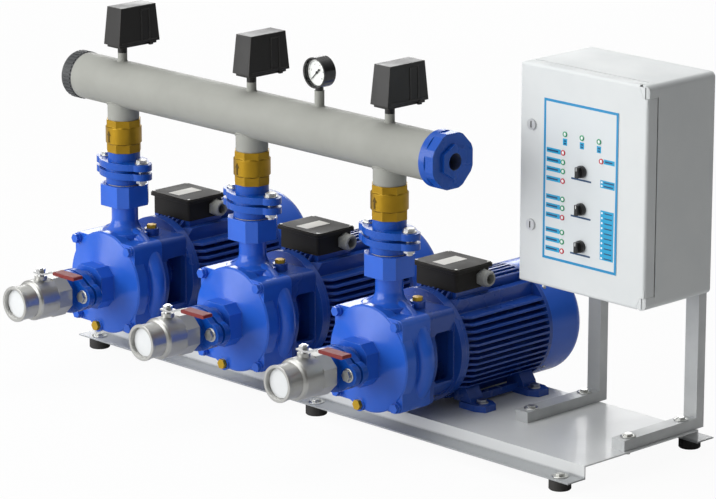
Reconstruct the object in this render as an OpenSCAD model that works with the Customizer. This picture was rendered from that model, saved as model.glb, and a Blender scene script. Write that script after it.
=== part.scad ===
// Three-pump booster set: close-coupled pumps on a folded base plate, a common
// delivery manifold with pressure switches and a gauge, and a control cabinet.
// X runs along the manifold, Y from the suction side to the motors, Z up from the floor.

/* [Set] */
// Distance between neighbouring pump axes
pump_pitch = 360; // [330:5:420]
// Height of the pump axis above the base plate
axis_h = 115; // [113:1:135]

/* [Base plate] */
// Length of the base plate
base_l = 1300; // [1250:5:1400]
// Width of the raised top of the base plate
base_w = 300; // [285:1:330]
// Height of the base plate's folded lips
base_h = 25; // [20:1:40]
// Width of the outward flanges
base_flange = 42; // [42:1:60]
// Thickness of the base sheet
base_t = 2.5; // [2:0.5:4]
// From the middle pump to the left end of the base
base_left = 489; // [470:1:520]
// From the discharge axis back to the front edge of the base
base_front = 30; // [22:1:40]
// Diameter of a rubber foot
foot_d = 40; // [30:1:42]
// Height of a rubber foot
foot_h = 20; // [18:1:40]
// From the end of the base to the centre of a foot
foot_inset = 38; // [25:1:60]

/* [Pump] */
// Radius of the front cover
cover_r = 99; // [97:0.5:102]
// From the discharge axis forward to the cover rim
cover_front = 54; // [50:1:62]
// Depth of the cone between cover rim and suction boss
cone_h = 11; // [6:1:16]
// Width of the rounded volute ring
bead_w = 36; // [30:1:38]
// Radius of the rounded volute ring
bead_r = 109; // [107:1:112]
// Radius of the impeller chamber
chamber_r = 86; // [84:0.5:88]
// Across the flats of the square suction and discharge bosses
boss_af = 80; // [74:1:90]
// Length of the suction boss
boss_len = 31; // [24:1:40]
// Half the square on which the four cover bolts sit
lug_at = 75; // [74:0.5:76]
// Radius of the casing's corners around the cover bolts
lug_r = 11; // [10:0.5:13]
// Radius of the water passages
water_r = 22; // [19:0.5:24]
// Outer radius of the discharge neck
neck_r = 25.5; // [25:0.5:30]
// Radius of the discharge neck's flared foot
flare_r = 48; // [42:1:54]
// From the pump axis up to the discharge boss
nut_rise = 147; // [140:1:165]
// Height of the discharge boss
nut_h = 41; // [30:1:50]
// Length of the lantern between pump and motor
bracket_l = 74; // [72:1:84]
// Half width of the square lantern
lantern_w = 85; // [82:0.5:86]
// Wall of the lantern
lantern_t = 15; // [10:0.5:18]
// Height of the lantern's side windows
window_h = 94; // [60:1:110]
// Radius of the lantern's motor-side flange
drum_r = 105; // [102:0.5:107]

/* [Motor] */
// Radius over the cooling fins
fin_r = 108; // [104:0.5:111]
// Radius of the motor frame under the fins
core_r = 88; // [86:0.5:92]
// Distance between fins
fin_pitch = 12; // [9:0.5:16]
// Thickness of a fin
fin_t = 4; // [2.5:0.5:5]
// Length of the motor frame
frame_l = 224; // [220:1:240]
// Length of the fan cowl
cowl_l = 86; // [74:1:100]
// Sheet thickness of the fan cowl
cowl_t = 2; // [1.5:0.5:3]
// Radius of the cowl's rear edge
cowl_edge = 22; // [12:1:30]
// Across the motor's foot bolts
foot_a = 190; // [186:1:200]
// Along the motor's foot bolts
foot_b = 140; // [125:1:145]
// From the motor's front face to the first foot bolt
foot_c = 51; // [45:1:58]
// Radius of the stator's bore
stator_r = 55; // [45:0.5:60]
// Air gap between stator and rotor
air_gap = 0.4; // [0.3:0.1:1]
// Radius of the shaft at the front bearing
shaft_r = 15; // [12:0.5:17]
// Running clearance of a shaft, pin or spindle in its bore
run_gap = 0.05; // [0.03:0.01:0.09]
// Width of the terminal box
tbox_w = 104; // [90:1:120]
// Length of the terminal box along the motor
tbox_l = 88; // [76:1:96]
// Height of the terminal box without its lid
tbox_h = 35; // [30:1:50]
// Thickness of the terminal box lid
tlid_h = 8; // [6:0.5:14]

/* [Fittings] */
// Thickness of an oval flange plate
plate_t = 14.5; // [12:0.5:22]
// From the flange centre to a flange bolt
plate_at = 50; // [48:0.5:54]
// Half width of an oval flange at its centre
plate_r = 40; // [36:0.5:44]
// Thickness of a flange gasket
gasket_t = 1.5; // [1:0.5:4]
// Outer radius of the flange collars and pipe necks
collar_r = 31; // [30:0.5:34]
// Length of the pipe neck behind the suction flange
nipple_l = 24.5; // [20:0.5:40]
// Length of the collar in front of the suction flange
collar_s = 15.5; // [10:0.5:25]
// Height of the collar under the discharge flange
collar_d = 14; // [11:0.5:25]
// Height of the collar over the discharge flange
collar_u = 17.5; // [12:0.5:25]
// Length of the ball valve
valve_l = 111; // [108:1:125]
// From the valve's inner end to its stem
stem_back = 45; // [42:1:48]
// Radius of the ball
ball_r = 30; // [27:0.5:31]
// Depth of the threaded suction mouth
mouth_l = 8; // [6:1:14]
// Radius of the threaded suction mouth
mouth_r = 28.5; // [27:0.5:30]
// Length of the valve lever from the stem
lever_l = 106; // [95:1:140]
// Height of the check valve
check_h = 63; // [58:1:75]
// Radius of the check valve's body
check_r = 34.5; // [33:0.5:38]
// Lift of the check valve's disc
check_lift = 10; // [5:1:12]

/* [Manifold] */
// Outer diameter of the manifold pipe
pipe_d = 88.9; // [80:0.1:101.6]
// Wall of the manifold pipe
pipe_t = 3.2; // [2.5:0.1:5]
// Outer diameter of the stub pipes
stub_d = 60.3; // [56:0.1:62]
// Wall of the stub pipes
stub_t = 2.9; // [2.5:0.1:4]
// From the top of a check valve to the manifold axis
stub_rise = 67.5; // [60:0.5:90]
// From the middle pump to the pipe's left end
pipe_left = 461; // [450:1:480]
// From the middle pump to the pipe's right end
pipe_right = 481; // [470:1:500]
// Radius of the outlet cap
outlet_r = 52; // [49:0.5:56]
// Length of the outlet cap
outlet_l = 34; // [26:1:40]
// Radius of the threaded outlet
outlet_bore_r = 15.5; // [12:0.5:18]
// Radius of the stop cap
stop_r = 46; // [45:0.5:50]
// Length of the stop cap
stop_l = 27; // [20:1:34]
// Radius of a welded socket
socket_r = 9; // [8:0.5:12]
// Height of a switch socket above the pipe
socket_h = 16; // [12:1:24]
// Height of a pressure switch cover
switch_h = 72; // [60:1:90]
// Width of a pressure switch cover at its foot
switch_w = 44; // [38:1:52]
// Length of a pressure switch cover at its foot
switch_l = 102; // [90:1:120]
// Diameter of the gauge case
gauge_d = 57; // [45:1:63]
// Depth of the gauge case
gauge_t = 28; // [22:1:34]

/* [Cabinet] */
// From the middle pump to the cabinet's left side
cab_left = 530; // [524:1:560]
// Width of the cabinet
cab_w = 300; // [290:1:320]
// Height of the cabinet
cab_h = 400; // [390:1:450]
// Depth of the cabinet with its door
cab_d = 175; // [165:1:200]
// From the discharge axis back to the door's face
cab_front = 155; // [150:1:165]
// Height of the cabinet above the base plate
cab_rise = 256; // [240:1:300]
// Sheet thickness of the cabinet
cab_t = 1.5; // [1.2:0.1:2]
// Depth of the door's folded edge
door_d = 25; // [23:1:28]
// Radius of the cabinet's corners
cab_r = 10; // [6:1:14]
// Width of the control panel
panel_w = 175; // [160:1:190]
// Height of the control panel
panel_h = 290; // [280:1:320]
// Diameter of a selector knob
knob_d = 22; // [16:1:28]
// Width of a stand tube
tube_w = 30; // [25:1:40]
// Depth of a stand tube
tube_h = 20; // [16:1:24]
// Wall of a stand tube
tube_t = 2; // [1.5:0.5:2.5]
// Distance between the two stands
stand_gap = 233; // [200:1:240]
// Length of a stand's foot bar
bar_l = 211; // [190:1:260]

/* [Hidden] */
$fn = 72;
PAINT = "#2F62C8";
FLANGE = "#1C6AD6";
BRASS = "#B8901E";
STEEL = "#C4C6C8";
GREY = "#A8A69F";
CABINET = "#D5D9DA";
BLACK = "#262420";

// Clearance beside pieces that do not bear on each other
fit = 0.3;
// Radial room of a bolt in its hole
bolt_gap = 0.4;
// Joint line between pieces that are pushed together in one assembly
seat_gap = 0.05;
// Overshoot of a cut
cut = 1;

// Heights of the base top and of the pump axis above the floor
base_z = foot_h + base_h;
axis_z = base_z + axis_h;

// Stations on the suction side, along Y from the discharge axis
lug_y = -cover_front - 4;
cone_y = -cover_front - cone_h;
boss_y = cone_y - boss_len;
s1_y = boss_y - nipple_l;
s2_y = s1_y - plate_t;
s3_y = s2_y - gasket_t;
s4_y = s3_y - plate_t;
valve_y = s4_y - collar_s;
mouth_y = valve_y - valve_l;
stem_y = valve_y - stem_back;

// Stations on the discharge side, along Z from the pump axis
nut_z = nut_rise + nut_h;
d1_z = nut_z + gasket_t + collar_d;
d2_z = d1_z + plate_t;
d3_z = d2_z + gasket_t;
d4_z = d3_z + plate_t;
check_z = d4_z + collar_u;
stub_z = check_z + check_h;
manifold_z = axis_z + stub_z + stub_rise;

// Stations on the motor side, along Y
bead_y = bead_w / 2;
cover_t = 14;
chamber_y = -cover_front + cover_t;
front_plate = 10;
frame_y = bead_y + bracket_l;
drum_y = frame_y - 12;
housing_y = drum_y - 16;
window_y = (bead_y + front_plate + drum_y) / 2;
window_l = drum_y - bead_y - front_plate - 4;
neck_bend = flare_r - neck_r;
flare_z = cover_r - 3 + neck_bend;
rim_l = 24;
boss_cut = 0.5625 * boss_af;
face_t = 2;
cowl_y = frame_y + frame_l;
end_y = cowl_y + cowl_l;
ring_t = 8;

// Rolling bearings, shaft seal and windings
bearing_r = 31;
bearing_l = 16;
rear_shaft_r = shaft_r - 2.5;
rear_bearing_r = 26;
rear_bearing_l = 15;
seal_r = 24;
seal_l = 12;
seal_y = bead_y - 10;
rear_wall = 24;
stator_o = core_r - 8;
stator_y1 = cowl_y - rear_wall - 12;
stator_y0 = frame_y + 44;
coil_l = 10;
core_y0 = stator_y0 + 4;
core_y1 = stator_y1 - 4;
shaft_mid_r = shaft_r + 5;
imp_r = chamber_r - 6;
imp_y0 = chamber_y + 8;
imp_y1 = seal_y - 4;
imp_shaft_r = shaft_r - 3;
fan_y = cowl_y + 14;
fan_l = 22;
fan_shaft_r = rear_shaft_r - 2.5;

// Terminal box on its pad
pad_z = core_r + 11;
tbox_y = frame_y + 26 + tbox_l / 2;
tlid_over = 5;
gland_y = tbox_y + tbox_l / 4 + 2;
gland_z = pad_z + tbox_h / 2;
gland_r = 12;
gland_bore = 9.5;

// Bolts, as shank radius, across flats and head height
M8 = [4, 13, 5.5];
M10 = [5, 16, 6.5];
M12 = [6, 18, 7.5];
plug_r = 8;
plug_af = 17;
drain_x = -19;
drain_z = -sqrt(pow(cover_r - 9, 2) - drain_x * drain_x);
prime_x = 36;
prime_y = bead_y + front_plate + 8;
prime_z = lantern_w + 14;

// Base plate and feet
base_x0 = -base_left;
base_x1 = base_x0 + base_l;
base_y0 = base_front;
base_y1 = base_y0 + base_w;
feet_x = [base_x0 + foot_inset, (base_x0 + base_x1) / 2, base_x1 - foot_inset];
feet_y = [base_y0 - base_flange / 2, base_y1 + base_flange / 2];
pad_t = 12;

// Cabinet, its door rim and its hinge axis
cab_x1 = cab_left + cab_w;
cab_cx = cab_left + cab_w / 2;
cab_z0 = base_z + cab_rise;
cab_z1 = cab_z0 + cab_h;
cab_cz = (cab_z0 + cab_z1) / 2;
cab_y1 = cab_front + cab_d;
box_y0 = cab_front + door_d + 3;
land_y = box_y0 + 3;
seal_t = 6.5;
rim_y = cab_front + cab_t + seal_t;
rim_x0 = cab_left + 12;
rim_x1 = cab_x1 - 25;
rim_z0 = cab_z0 + 25;
rim_z1 = cab_z1 - 25;
hinge_x = cab_x1 - 8;
hinge_y = cab_front + door_d - 9;
hinge_r = hinge_y - cab_front - 2.2;
hinge_h = 23;
pin_r = 3;
lug_h = 14;
edge_r = 6;

// Things on the door
panel_cx = cab_cx - 3;
panel_y = cab_front - 1;
knob_x = cab_cx + 1;
spindle_r = 4;
knob_z = [for (k = [0:2]) cab_cz + 25 - k * 67.5];
lock_x = cab_left + 30;
lock_z = [cab_z0 + 290, cab_z0 + 108];
lock_r = 7;
cam_y = land_y + cab_t + 1;
cam_l = 24;
lamp_r = 3.6;
lamp_stem = 2.4;
left_lamps = [51, 34, 17.5, 0, -33, -49, -66, -93, -110, -127];
lamps = concat(
    [for (dx = [-40, 0, 40]) [cab_cx + dx, cab_cz + 85]],
    [for (dz = left_lamps) [cab_cx - 44, cab_cz + dz]],
    [[cab_cx + 46, cab_cz + 51]]
);

// Inside the cabinet
stud_l = 8.5;
gear_t = 2;
gear_y = cab_y1 - cab_t - stud_l - gear_t;
rail_t = 7.5;
rail_z = [cab_cz + 90, cab_cz - 10, cab_cz - 110];

// Stands
stand_shift = -6;
stands_x = [for (s = [-1, 1]) cab_cx + stand_shift + s * stand_gap / 2];
post_y = cab_y1;
bar_y0 = post_y + tube_h - bar_l;
post_top = cab_z1 - 40;
bar_bolts = [bar_y0 + 26, post_y - 24];
post_bolts = [cab_z0 + 60, cab_z1 - 100];

// Manifold fittings
pipe_r = pipe_d / 2;
socket_bore = 5.5;
gauge_x = pump_pitch / 2;
gauge_socket_h = 29;
gauge_neck = 6;
gauge_z = manifold_z + pipe_r + gauge_socket_h + gauge_neck + gauge_d / 2 - 1;
gauge_r = gauge_d / 2;
switch_z = manifold_z + pipe_r + socket_h;
switch_neck = 12;
switch_base = 5;
switch_cy = 24;

// The part's origin is under the middle of its footprint
mid_x = (min(base_x0, -pipe_left - stop_l) + max(base_x1, cab_x1)) / 2;
mid_y = (mouth_y + max(end_y, base_y1 + base_flange, post_y + tube_h)) / 2;

// Frame of the set, of every pump, and of one pump
module placed() { translate([-mid_x, -mid_y, 0]) children(); }
module each_pump() {
    for (i = [-1:1]) translate([i * pump_pitch, 0, axis_z]) children();
}
module one_pump(i) { placed() translate([(i - 2) * pump_pitch, 0, axis_z]) children(); }

// A shape drawn upwards is laid along Y or X, or a flat outline is raised as a slab
module along_y(y = 0) { translate([0, y, 0]) rotate([-90, 0, 0]) children(); }
module along_x(x = 0) { translate([x, 0, 0]) rotate([0, 90, 0]) children(); }
module slab(y0, y1) { translate([0, y1, 0]) rotate([90, 0, 0]) linear_extrude(y1 - y0) children(); }
module profile_x(x0, x1) {
    translate([x0, 0, 0]) rotate([90, 0, 90]) linear_extrude(x1 - x0) children();
}
module box(x0, x1, y0, y1, z0, z1) {
    translate([x0, y0, z0]) cube([x1 - x0, y1 - y0, z1 - z0]);
}

// Repeated forms
module octagon(af, h) { rotate(22.5) cylinder(r = af / 2 / cos(22.5), h = h, $fn = 8); }
module hexagon(af, h) { cylinder(r = af / 2 / cos(30), h = h, $fn = 6); }
module boss(af, h) {
    linear_extrude(h) intersection() {
        square(af, center = true);
        rotate(45) square(2 * boss_cut, center = true);
    }
}
module tube(ro, ri, h) {
    difference() {
        cylinder(r = ro, h = h);
        translate([0, 0, -cut]) cylinder(r = ri, h = h + 2 * cut);
    }
}
module bolt(m, len) {
    hexagon(m[1], m[2]);
    translate([0, 0, -len]) cylinder(r = m[0], h = len + cut / 2);
}
module nut(m) {
    difference() {
        hexagon(m[1], m[2]);
        translate([0, 0, -cut]) cylinder(r = m[0] + bolt_gap, h = m[2] + 2 * cut);
    }
}
module round_rect(w, h, r) {
    square([w - 2 * r, h], center = true);
    square([w, h - 2 * r], center = true);
    for (sx = [-1, 1], sy = [-1, 1]) translate([sx * (w / 2 - r), sy * (h / 2 - r)]) circle(r);
}
module four_lugs() {
    for (sx = [-1, 1], sz = [-1, 1]) translate([sx * lug_at, 0, sz * lug_at]) children();
}

// Base plate, its feet and the bolts of the frame
module base_plate() {
    color("#C4C4BE") placed() difference() {
        profile_x(base_x0, base_x1) polygon([
            [base_y0 - base_flange, foot_h], [base_y0 + base_t, foot_h],
            [base_y0 + base_t, base_z - base_t], [base_y1 - base_t, base_z - base_t],
            [base_y1 - base_t, foot_h], [base_y1 + base_flange, foot_h],
            [base_y1 + base_flange, foot_h + base_t], [base_y1, foot_h + base_t],
            [base_y1, base_z], [base_y0, base_z],
            [base_y0, foot_h + base_t], [base_y0 - base_flange, foot_h + base_t]
        ]);
        for (x = feet_x, y = feet_y) translate([x, y, 0]) cylinder(r = M8[0] + bolt_gap, h = base_z);
        for (x = stands_x, y = bar_bolts) translate([x, y, 0])
            cylinder(r = M8[0] + bolt_gap, h = base_z + cut);
        translate([0, 0, -axis_h]) each_pump() foot_places()
            cylinder(r = M10[0] + bolt_gap, h = base_z, center = true);
    }
}
module rubber_feet() {
    color("#1B1B1B") placed() for (x = feet_x, y = feet_y) translate([x, y, 0]) difference() {
        rotate_extrude() polygon([
            [0, 0], [foot_d / 2 - 1.5, 0], [foot_d / 2, 1.5],
            [foot_d / 2, foot_h - 1.5], [foot_d / 2 - 1.5, foot_h], [0, foot_h]
        ]);
        translate([0, 0, foot_h - 15]) cylinder(r = M8[0] + bolt_gap, h = 15 + cut);
    }
}
module frame_bolts() {
    color(STEEL) placed() {
        for (x = feet_x, y = feet_y) translate([x, y, foot_h + base_t]) bolt(M8, base_t + 13);
        for (x = stands_x, y = bar_bolts) {
            translate([x, y, base_z + tube_h]) bolt(M8, tube_h + base_t + 10);
            translate([x, y, base_z - base_t - M8[2]]) nut(M8);
        }
        for (x = stands_x, z = post_bolts) {
            translate([x, cab_y1 - cab_t, z]) rotate([90, 0, 0]) bolt(M8, cab_t + tube_h + 10);
            translate([x, post_y + tube_h, z]) along_y() nut(M8);
        }
    }
}
module stand_outline(x, inset) {
    box(x - tube_w / 2 + inset, x + tube_w / 2 - inset, bar_y0 + inset, post_y + tube_h - inset,
        base_z + inset, base_z + tube_h - inset);
    box(x - tube_w / 2 + inset, x + tube_w / 2 - inset, post_y + inset, post_y + tube_h - inset,
        base_z + inset, post_top - inset);
}
module cabinet_stands() {
    color("#BFC1C2") placed() for (x = stands_x) difference() {
        stand_outline(x, 0);
        stand_outline(x, tube_t);
        for (y = bar_bolts) translate([x, y, base_z - cut])
            cylinder(r = M8[0] + bolt_gap, h = tube_h + 2 * cut);
        for (z = post_bolts) translate([x, post_y - cut, z]) along_y()
            cylinder(r = M8[0] + bolt_gap, h = tube_h + 2 * cut);
    }
}

// Cabinet body with a raised sealing rim, and its hinge blocks
module cab_2d(inset) {
    translate([cab_cx, cab_cz]) round_rect(cab_w - 2 * inset, cab_h - 2 * inset, cab_r - inset);
}
module rim_2d(inset) {
    translate([rim_x0 + inset, rim_z0 + inset])
        square([rim_x1 - rim_x0 - 2 * inset, rim_z1 - rim_z0 - 2 * inset]);
}
module cabinet_box() {
    color(CABINET) placed() difference() {
        union() {
            difference() {
                slab(box_y0, cab_y1) cab_2d(0);
                slab(land_y + cab_t, cab_y1 - cab_t) cab_2d(cab_t);
                slab(box_y0 - cut, land_y) cab_2d(cab_t);
            }
            slab(rim_y, land_y + cab_t) rim_2d(0);
        }
        slab(rim_y - cut, land_y + cab_t + cut) rim_2d(cab_t);
        for (x = stands_x, z = post_bolts) translate([x, cab_y1 - 2 * cab_t, z]) along_y()
            cylinder(r = M8[0] + bolt_gap, h = 3 * cab_t);
    }
}
module hinge_block() {
    intersection() {
        slab(cab_front, box_y0 - fit) cab_2d(0);
        translate([0, 0, cab_z1 - hinge_h]) linear_extrude(hinge_h) union() {
            translate([hinge_x, hinge_y]) circle(hinge_r);
            translate([hinge_x - hinge_r, hinge_y]) square([hinge_r + cab_x1 - hinge_x, box_y0 - hinge_y]);
        }
    }
    box(hinge_x - hinge_r, cab_x1 - cab_t - fit, hinge_y, land_y, cab_z1 - hinge_h, cab_z1 - cab_r);
    translate([hinge_x, hinge_y, cab_z1 - hinge_h - lug_h]) cylinder(r = pin_r, h = lug_h + cut);
}
module top_and_bottom() {
    children();
    translate([0, 0, 2 * cab_cz]) mirror([0, 0, 1]) children();
}
module hinge_blocks() { color(CABINET) placed() top_and_bottom() hinge_block(); }

// Door, its seal, panel, lamps, knobs and locks
module door_form(inset) {
    r = edge_r - inset;
    y0 = cab_front + inset;
    y1 = cab_front + door_d + (inset > 0 ? cut : 0);
    intersection() {
        slab(y0, y1) cab_2d(inset);
        translate([0, 0, cab_z0]) linear_extrude(cab_h) edge_2d(cab_left + inset, cab_x1 - inset, y0, y1, r);
        translate([cab_left, 0, 0]) rotate([90, 0, 90]) linear_extrude(cab_w)
            rotate(-90) mirror([1, 0]) edge_2d(cab_z0 + inset, cab_z1 - inset, y0, y1, r);
    }
}
module edge_2d(x0, x1, y0, y1, r) {
    translate([x0, y0 + r]) square([x1 - x0, y1 - y0 - r]);
    translate([x0 + r, y0]) square([x1 - x0 - 2 * r, y1 - y0]);
    for (x = [x0 + r, x1 - r]) translate([x, y0 + r]) circle(r);
}
module door_notch() {
    z = cab_z1 - hinge_h - fit;
    slab(cab_front - cut, cab_front + door_d + cut) polygon([
        [hinge_x - 14, cab_z1 + cut], [hinge_x - 2, z], [cab_x1 + cut, z], [cab_x1 + cut, cab_z1 + cut]
    ]);
    translate([hinge_x, hinge_y, z]) cylinder(r = hinge_r + fit, h = hinge_h + cut + fit);
    box(hinge_x - hinge_r - fit, cab_x1, hinge_y, cab_front + door_d + cut, z, cab_z1 + cut);
}
module door_lug() {
    z = cab_z1 - hinge_h - fit - lug_h;
    difference() {
        union() {
            translate([hinge_x, hinge_y, z]) cylinder(r = 6.4, h = lug_h);
            box(hinge_x - 6.4, hinge_x + 6.4, cab_front + cab_t / 2, hinge_y, z, z + lug_h);
        }
        translate([hinge_x, hinge_y, z - cut]) cylinder(r = pin_r + run_gap, h = lug_h + 2 * cut);
    }
}
module door_hole(x, z, r) {
    translate([x, panel_y - cut, z]) along_y() cylinder(r = r, h = 9);
}
module cabinet_door() {
    color(CABINET) placed() {
        difference() {
            door_form(0);
            door_form(cab_t);
            top_and_bottom() door_notch();
            for (z = lock_z) door_hole(lock_x, z, lock_r + run_gap);
            for (z = knob_z) door_hole(knob_x, z, spindle_r + run_gap);
            for (p = lamps) door_hole(p[0], p[1], lamp_stem + 0.1);
        }
        top_and_bottom() door_lug();
    }
}
module door_seal() {
    color("#202020") placed() slab(cab_front + cab_t, rim_y - 0.1) difference() {
        rim_2d(-1.5);
        rim_2d(cab_t + 6);
    }
}
module control_panel() {
    color("#E4EAEC") placed() difference() {
        slab(panel_y, cab_front) translate([panel_cx, cab_cz - 2]) round_rect(panel_w, panel_h, 2);
        for (z = knob_z) door_hole(knob_x, z, spindle_r + run_gap);
        for (p = lamps) door_hole(p[0], p[1], lamp_stem + 0.1);
    }
}
module indicator_lamps() {
    color("#3FB58A") placed() for (p = lamps) translate([p[0], panel_y, p[1]]) {
        rotate([90, 0, 0]) rotate_extrude() polygon([
            [0, 0], [lamp_r, 0], [lamp_r, 1], [lamp_r - 1.2, 2.2], [0, 2.2]
        ]);
        along_y(-0.5) cylinder(r = lamp_stem, h = 5);
    }
}
module selector_knob(k) {
    color("#1A1A1A") placed() translate([knob_x, panel_y - fit, knob_z[k - 1]]) {
        rotate([90, 0, 0]) rotate_extrude() polygon([
            [0, 0], [knob_d / 2, 0], [knob_d / 2, 5], [knob_d / 2 - 2, 7], [0, 7]
        ]);
        rotate([90, 0, 0]) intersection() {
            cylinder(r = knob_d / 2 - 1, h = 15);
            translate([-3.5, -knob_d, 0]) cube([7, 2 * knob_d, 15]);
        }
        along_y(-cut) cylinder(r = spindle_r, h = cut + fit + 1 + cab_t + fit + 4);
        along_y(1 + cab_t + 2 * fit) cylinder(r = 7, h = 3);
    }
}
module lock(z) {
    color("#B9BCC0") placed() translate([lock_x, 0, z]) {
        difference() {
            along_y(cab_front - fit - 3) cylinder(r = 10, h = 3);
            box(-1.5, 1.5, cab_front - 5, cab_front - fit - 1.5, -6, 6);
        }
        along_y(cab_front - fit - 1.5) cylinder(r = lock_r, h = cam_y + 3 - cab_front + fit + 1.5);
        along_y(cab_front + cab_t + fit) cylinder(r = 9.5, h = 3);
        translate([0, cam_y + 3, 0]) rotate([90, 0, 0]) linear_extrude(3) {
            translate([-6, 0]) square([12, cam_l - 6]);
            translate([0, cam_l - 6]) circle(6);
        }
    }
}

// Inside the cabinet
module gear_plate() {
    color("#C9CCCE") placed() {
        box(cab_cx - cab_w / 2 + 30, cab_x1 - 30, gear_y, gear_y + gear_t, cab_z0 + 30, cab_z1 - 30);
        for (sx = [-1, 1], sz = [-1, 1])
            translate([cab_cx + sx * (cab_w / 2 - 40), gear_y + cut, cab_cz + sz * (cab_h / 2 - 40)])
                along_y() cylinder(r = 5, h = stud_l + gear_t - cut);
        for (z = rail_z) box(cab_left + 40, cab_x1 - 40, gear_y - rail_t, gear_y + cut, z - 17.5, z + 17.5);
    }
}
module gear_case(x, z, w, h, d) {
    y = gear_y - rail_t;
    box(x - w / 2, x + w / 2, y - d * 0.7, y, z - h / 2, z + h / 2);
    box(x - w / 2, x + w / 2, y - d, y - d * 0.7 + cut, z - h / 4, z + h / 4);
}
module switchgear() {
    color("#4A4C4E") placed() {
        for (k = [-1:1]) gear_case(cab_cx + k * 62, rail_z[0], 45, 80, 78);
        for (k = [-1:1]) gear_case(cab_cx + k * 62, rail_z[1], 45, 88, 66);
        for (k = [-7:7]) gear_case(cab_cx + k * 12, rail_z[2], 11, 52, 40);
    }
}

// Manifold with its branches and caps
module manifold_pipe() {
    color(GREY) placed() translate([0, 0, manifold_z]) difference() {
        along_x(-pipe_left) tube(pipe_r, pipe_r - pipe_t, pipe_left + pipe_right);
        for (i = [-1:1]) translate([i * pump_pitch, 0, -pipe_d])
            cylinder(r = stub_d / 2 - stub_t, h = pipe_d);
        for (x = [-pump_pitch, 0, gauge_x, pump_pitch]) translate([x, 0, 0])
            cylinder(r = socket_bore, h = pipe_d);
    }
}
module socket(h) { tube(socket_r, socket_bore, pipe_r + h); }
module manifold_branches() {
    color(GREY) placed() difference() {
        union() {
            for (i = [-1:1]) translate([i * pump_pitch, 0, axis_z + stub_z])
                tube(stub_d / 2, stub_d / 2 - stub_t, stub_rise);
            for (i = [-1:1]) translate([i * pump_pitch, 0, manifold_z]) socket(socket_h);
            translate([gauge_x, 0, manifold_z]) socket(gauge_socket_h);
        }
        translate([0, 0, manifold_z]) along_x(-pipe_left) cylinder(r = pipe_r, h = pipe_left + pipe_right);
    }
}
module outlet_cap() {
    color(FLANGE) placed() translate([0, 0, manifold_z]) along_x(pipe_right + gasket_t) difference() {
        union() {
            translate([0, 0, -gasket_t - 16]) cylinder(r = pipe_r - pipe_t - fit, h = 16 + gasket_t + cut);
            cylinder(r = outlet_r, h = outlet_l * 0.4);
            intersection() {
                cylinder(r = outlet_r, h = outlet_l);
                octagon(2 * outlet_r - 4, outlet_l);
            }
            hexagon(55, outlet_l + 6);
        }
        translate([0, 0, -gasket_t - 16 - cut])
            cylinder(r = outlet_bore_r, h = outlet_l + 16 + gasket_t + 6 + 2 * cut);
    }
}
module stop_cap() {
    color("#3A3C3E") placed() translate([0, 0, manifold_z]) along_x(-pipe_left - stop_l) {
        cylinder(r = pipe_r - pipe_t - fit, h = stop_l + 16);
        cylinder(r = stop_r - 1.5, h = stop_l);
        translate([0, 0, 3]) linear_extrude(stop_l - 6) for (k = [0:35])
            rotate(k * 10) translate([stop_r - 3, -2]) square([3, 4]);
    }
}

// Pressure switches
module pressure_switches() {
    color(BLACK) placed() for (i = [-1:1]) translate([i * pump_pitch, 0, switch_z]) {
        difference() {
            cylinder(r = socket_r, h = switch_neck + cut);
            translate([0, 0, -cut]) cylinder(r = 4, h = switch_neck);
        }
        box(-switch_w / 2 + 4, switch_w / 2 - 4, switch_cy - switch_l / 2 + 5, switch_cy + switch_l / 2 - 5,
            switch_neck, switch_neck + switch_base);
    }
}
module switch_form(inset) {
    h = switch_h - inset;
    w = switch_w / 2 - inset;
    l = switch_l / 2 - inset;
    z = inset > 0 ? -cut : 0;
    intersection() {
        slab(-switch_l, switch_l) polygon([[-w, z], [w, z], [w - 2, h], [2 - w, h]]);
        profile_x(-switch_w, switch_w) polygon([[-l, z], [l, z], [l - 8, h], [8 - l, h]]);
    }
}
module switch_covers() {
    color("#1E1D1B") placed() for (i = [-1:1])
        translate([i * pump_pitch, switch_cy, switch_z + switch_neck + switch_base]) {
            difference() {
                switch_form(0);
                switch_form(2.5);
            }
            box(switch_w / 2 - 4, switch_w / 2 + 1, switch_l / 4, switch_l / 4 + 8, -6, 1);
        }
}

// Pressure gauge, its face towards the suction side
module at_gauge() { placed() translate([gauge_x, 0, gauge_z]) rotate([90, 0, 0]) children(); }
module gauge_case() {
    color("#1C1C1C") {
        at_gauge() difference() {
            translate([0, 0, -gauge_t / 2]) cylinder(r = gauge_r, h = gauge_t);
            translate([0, 0, gauge_t / 2 - 10]) cylinder(r = gauge_r - 4, h = 10 + cut);
            translate([0, 0, gauge_t / 2 - 4]) cylinder(r = gauge_r - 2.5, h = 4 + cut);
            translate([0, 0, 3 - gauge_t / 2]) cylinder(r = gauge_r - 6, h = gauge_t);
        }
        placed() translate([gauge_x, 0, manifold_z + pipe_r + gauge_socket_h])
            cylinder(r = socket_r - 1.5, h = gauge_neck + 3);
    }
}
module gauge_dial() {
    color("#F2F2EE") at_gauge() translate([0, 0, gauge_t / 2 - 10])
        tube(gauge_r - 4 - fit, 1.5 + run_gap, 1);
}
module gauge_lens() {
    color("#E8F0F4") at_gauge() translate([0, 0, gauge_t / 2 - 4]) cylinder(r = gauge_r - 2.5 - fit, h = 2);
}
module gauge_pointer() {
    color("#151515") at_gauge() translate([0, 0, gauge_t / 2 - 10]) {
        translate([0, 0, -5]) cylinder(r = 1.5, h = 8);
        translate([0, 0, 2]) cylinder(r = 2.5, h = 1.5);
        rotate(225) translate([0, 0, 2]) linear_extrude(1) {
            polygon([[-7, -1.2], [gauge_r - 9, -0.3], [gauge_r - 9, 0.3], [-7, 1.2]]);
            translate([-7, 0]) circle(2.2);
        }
    }
}

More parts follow.
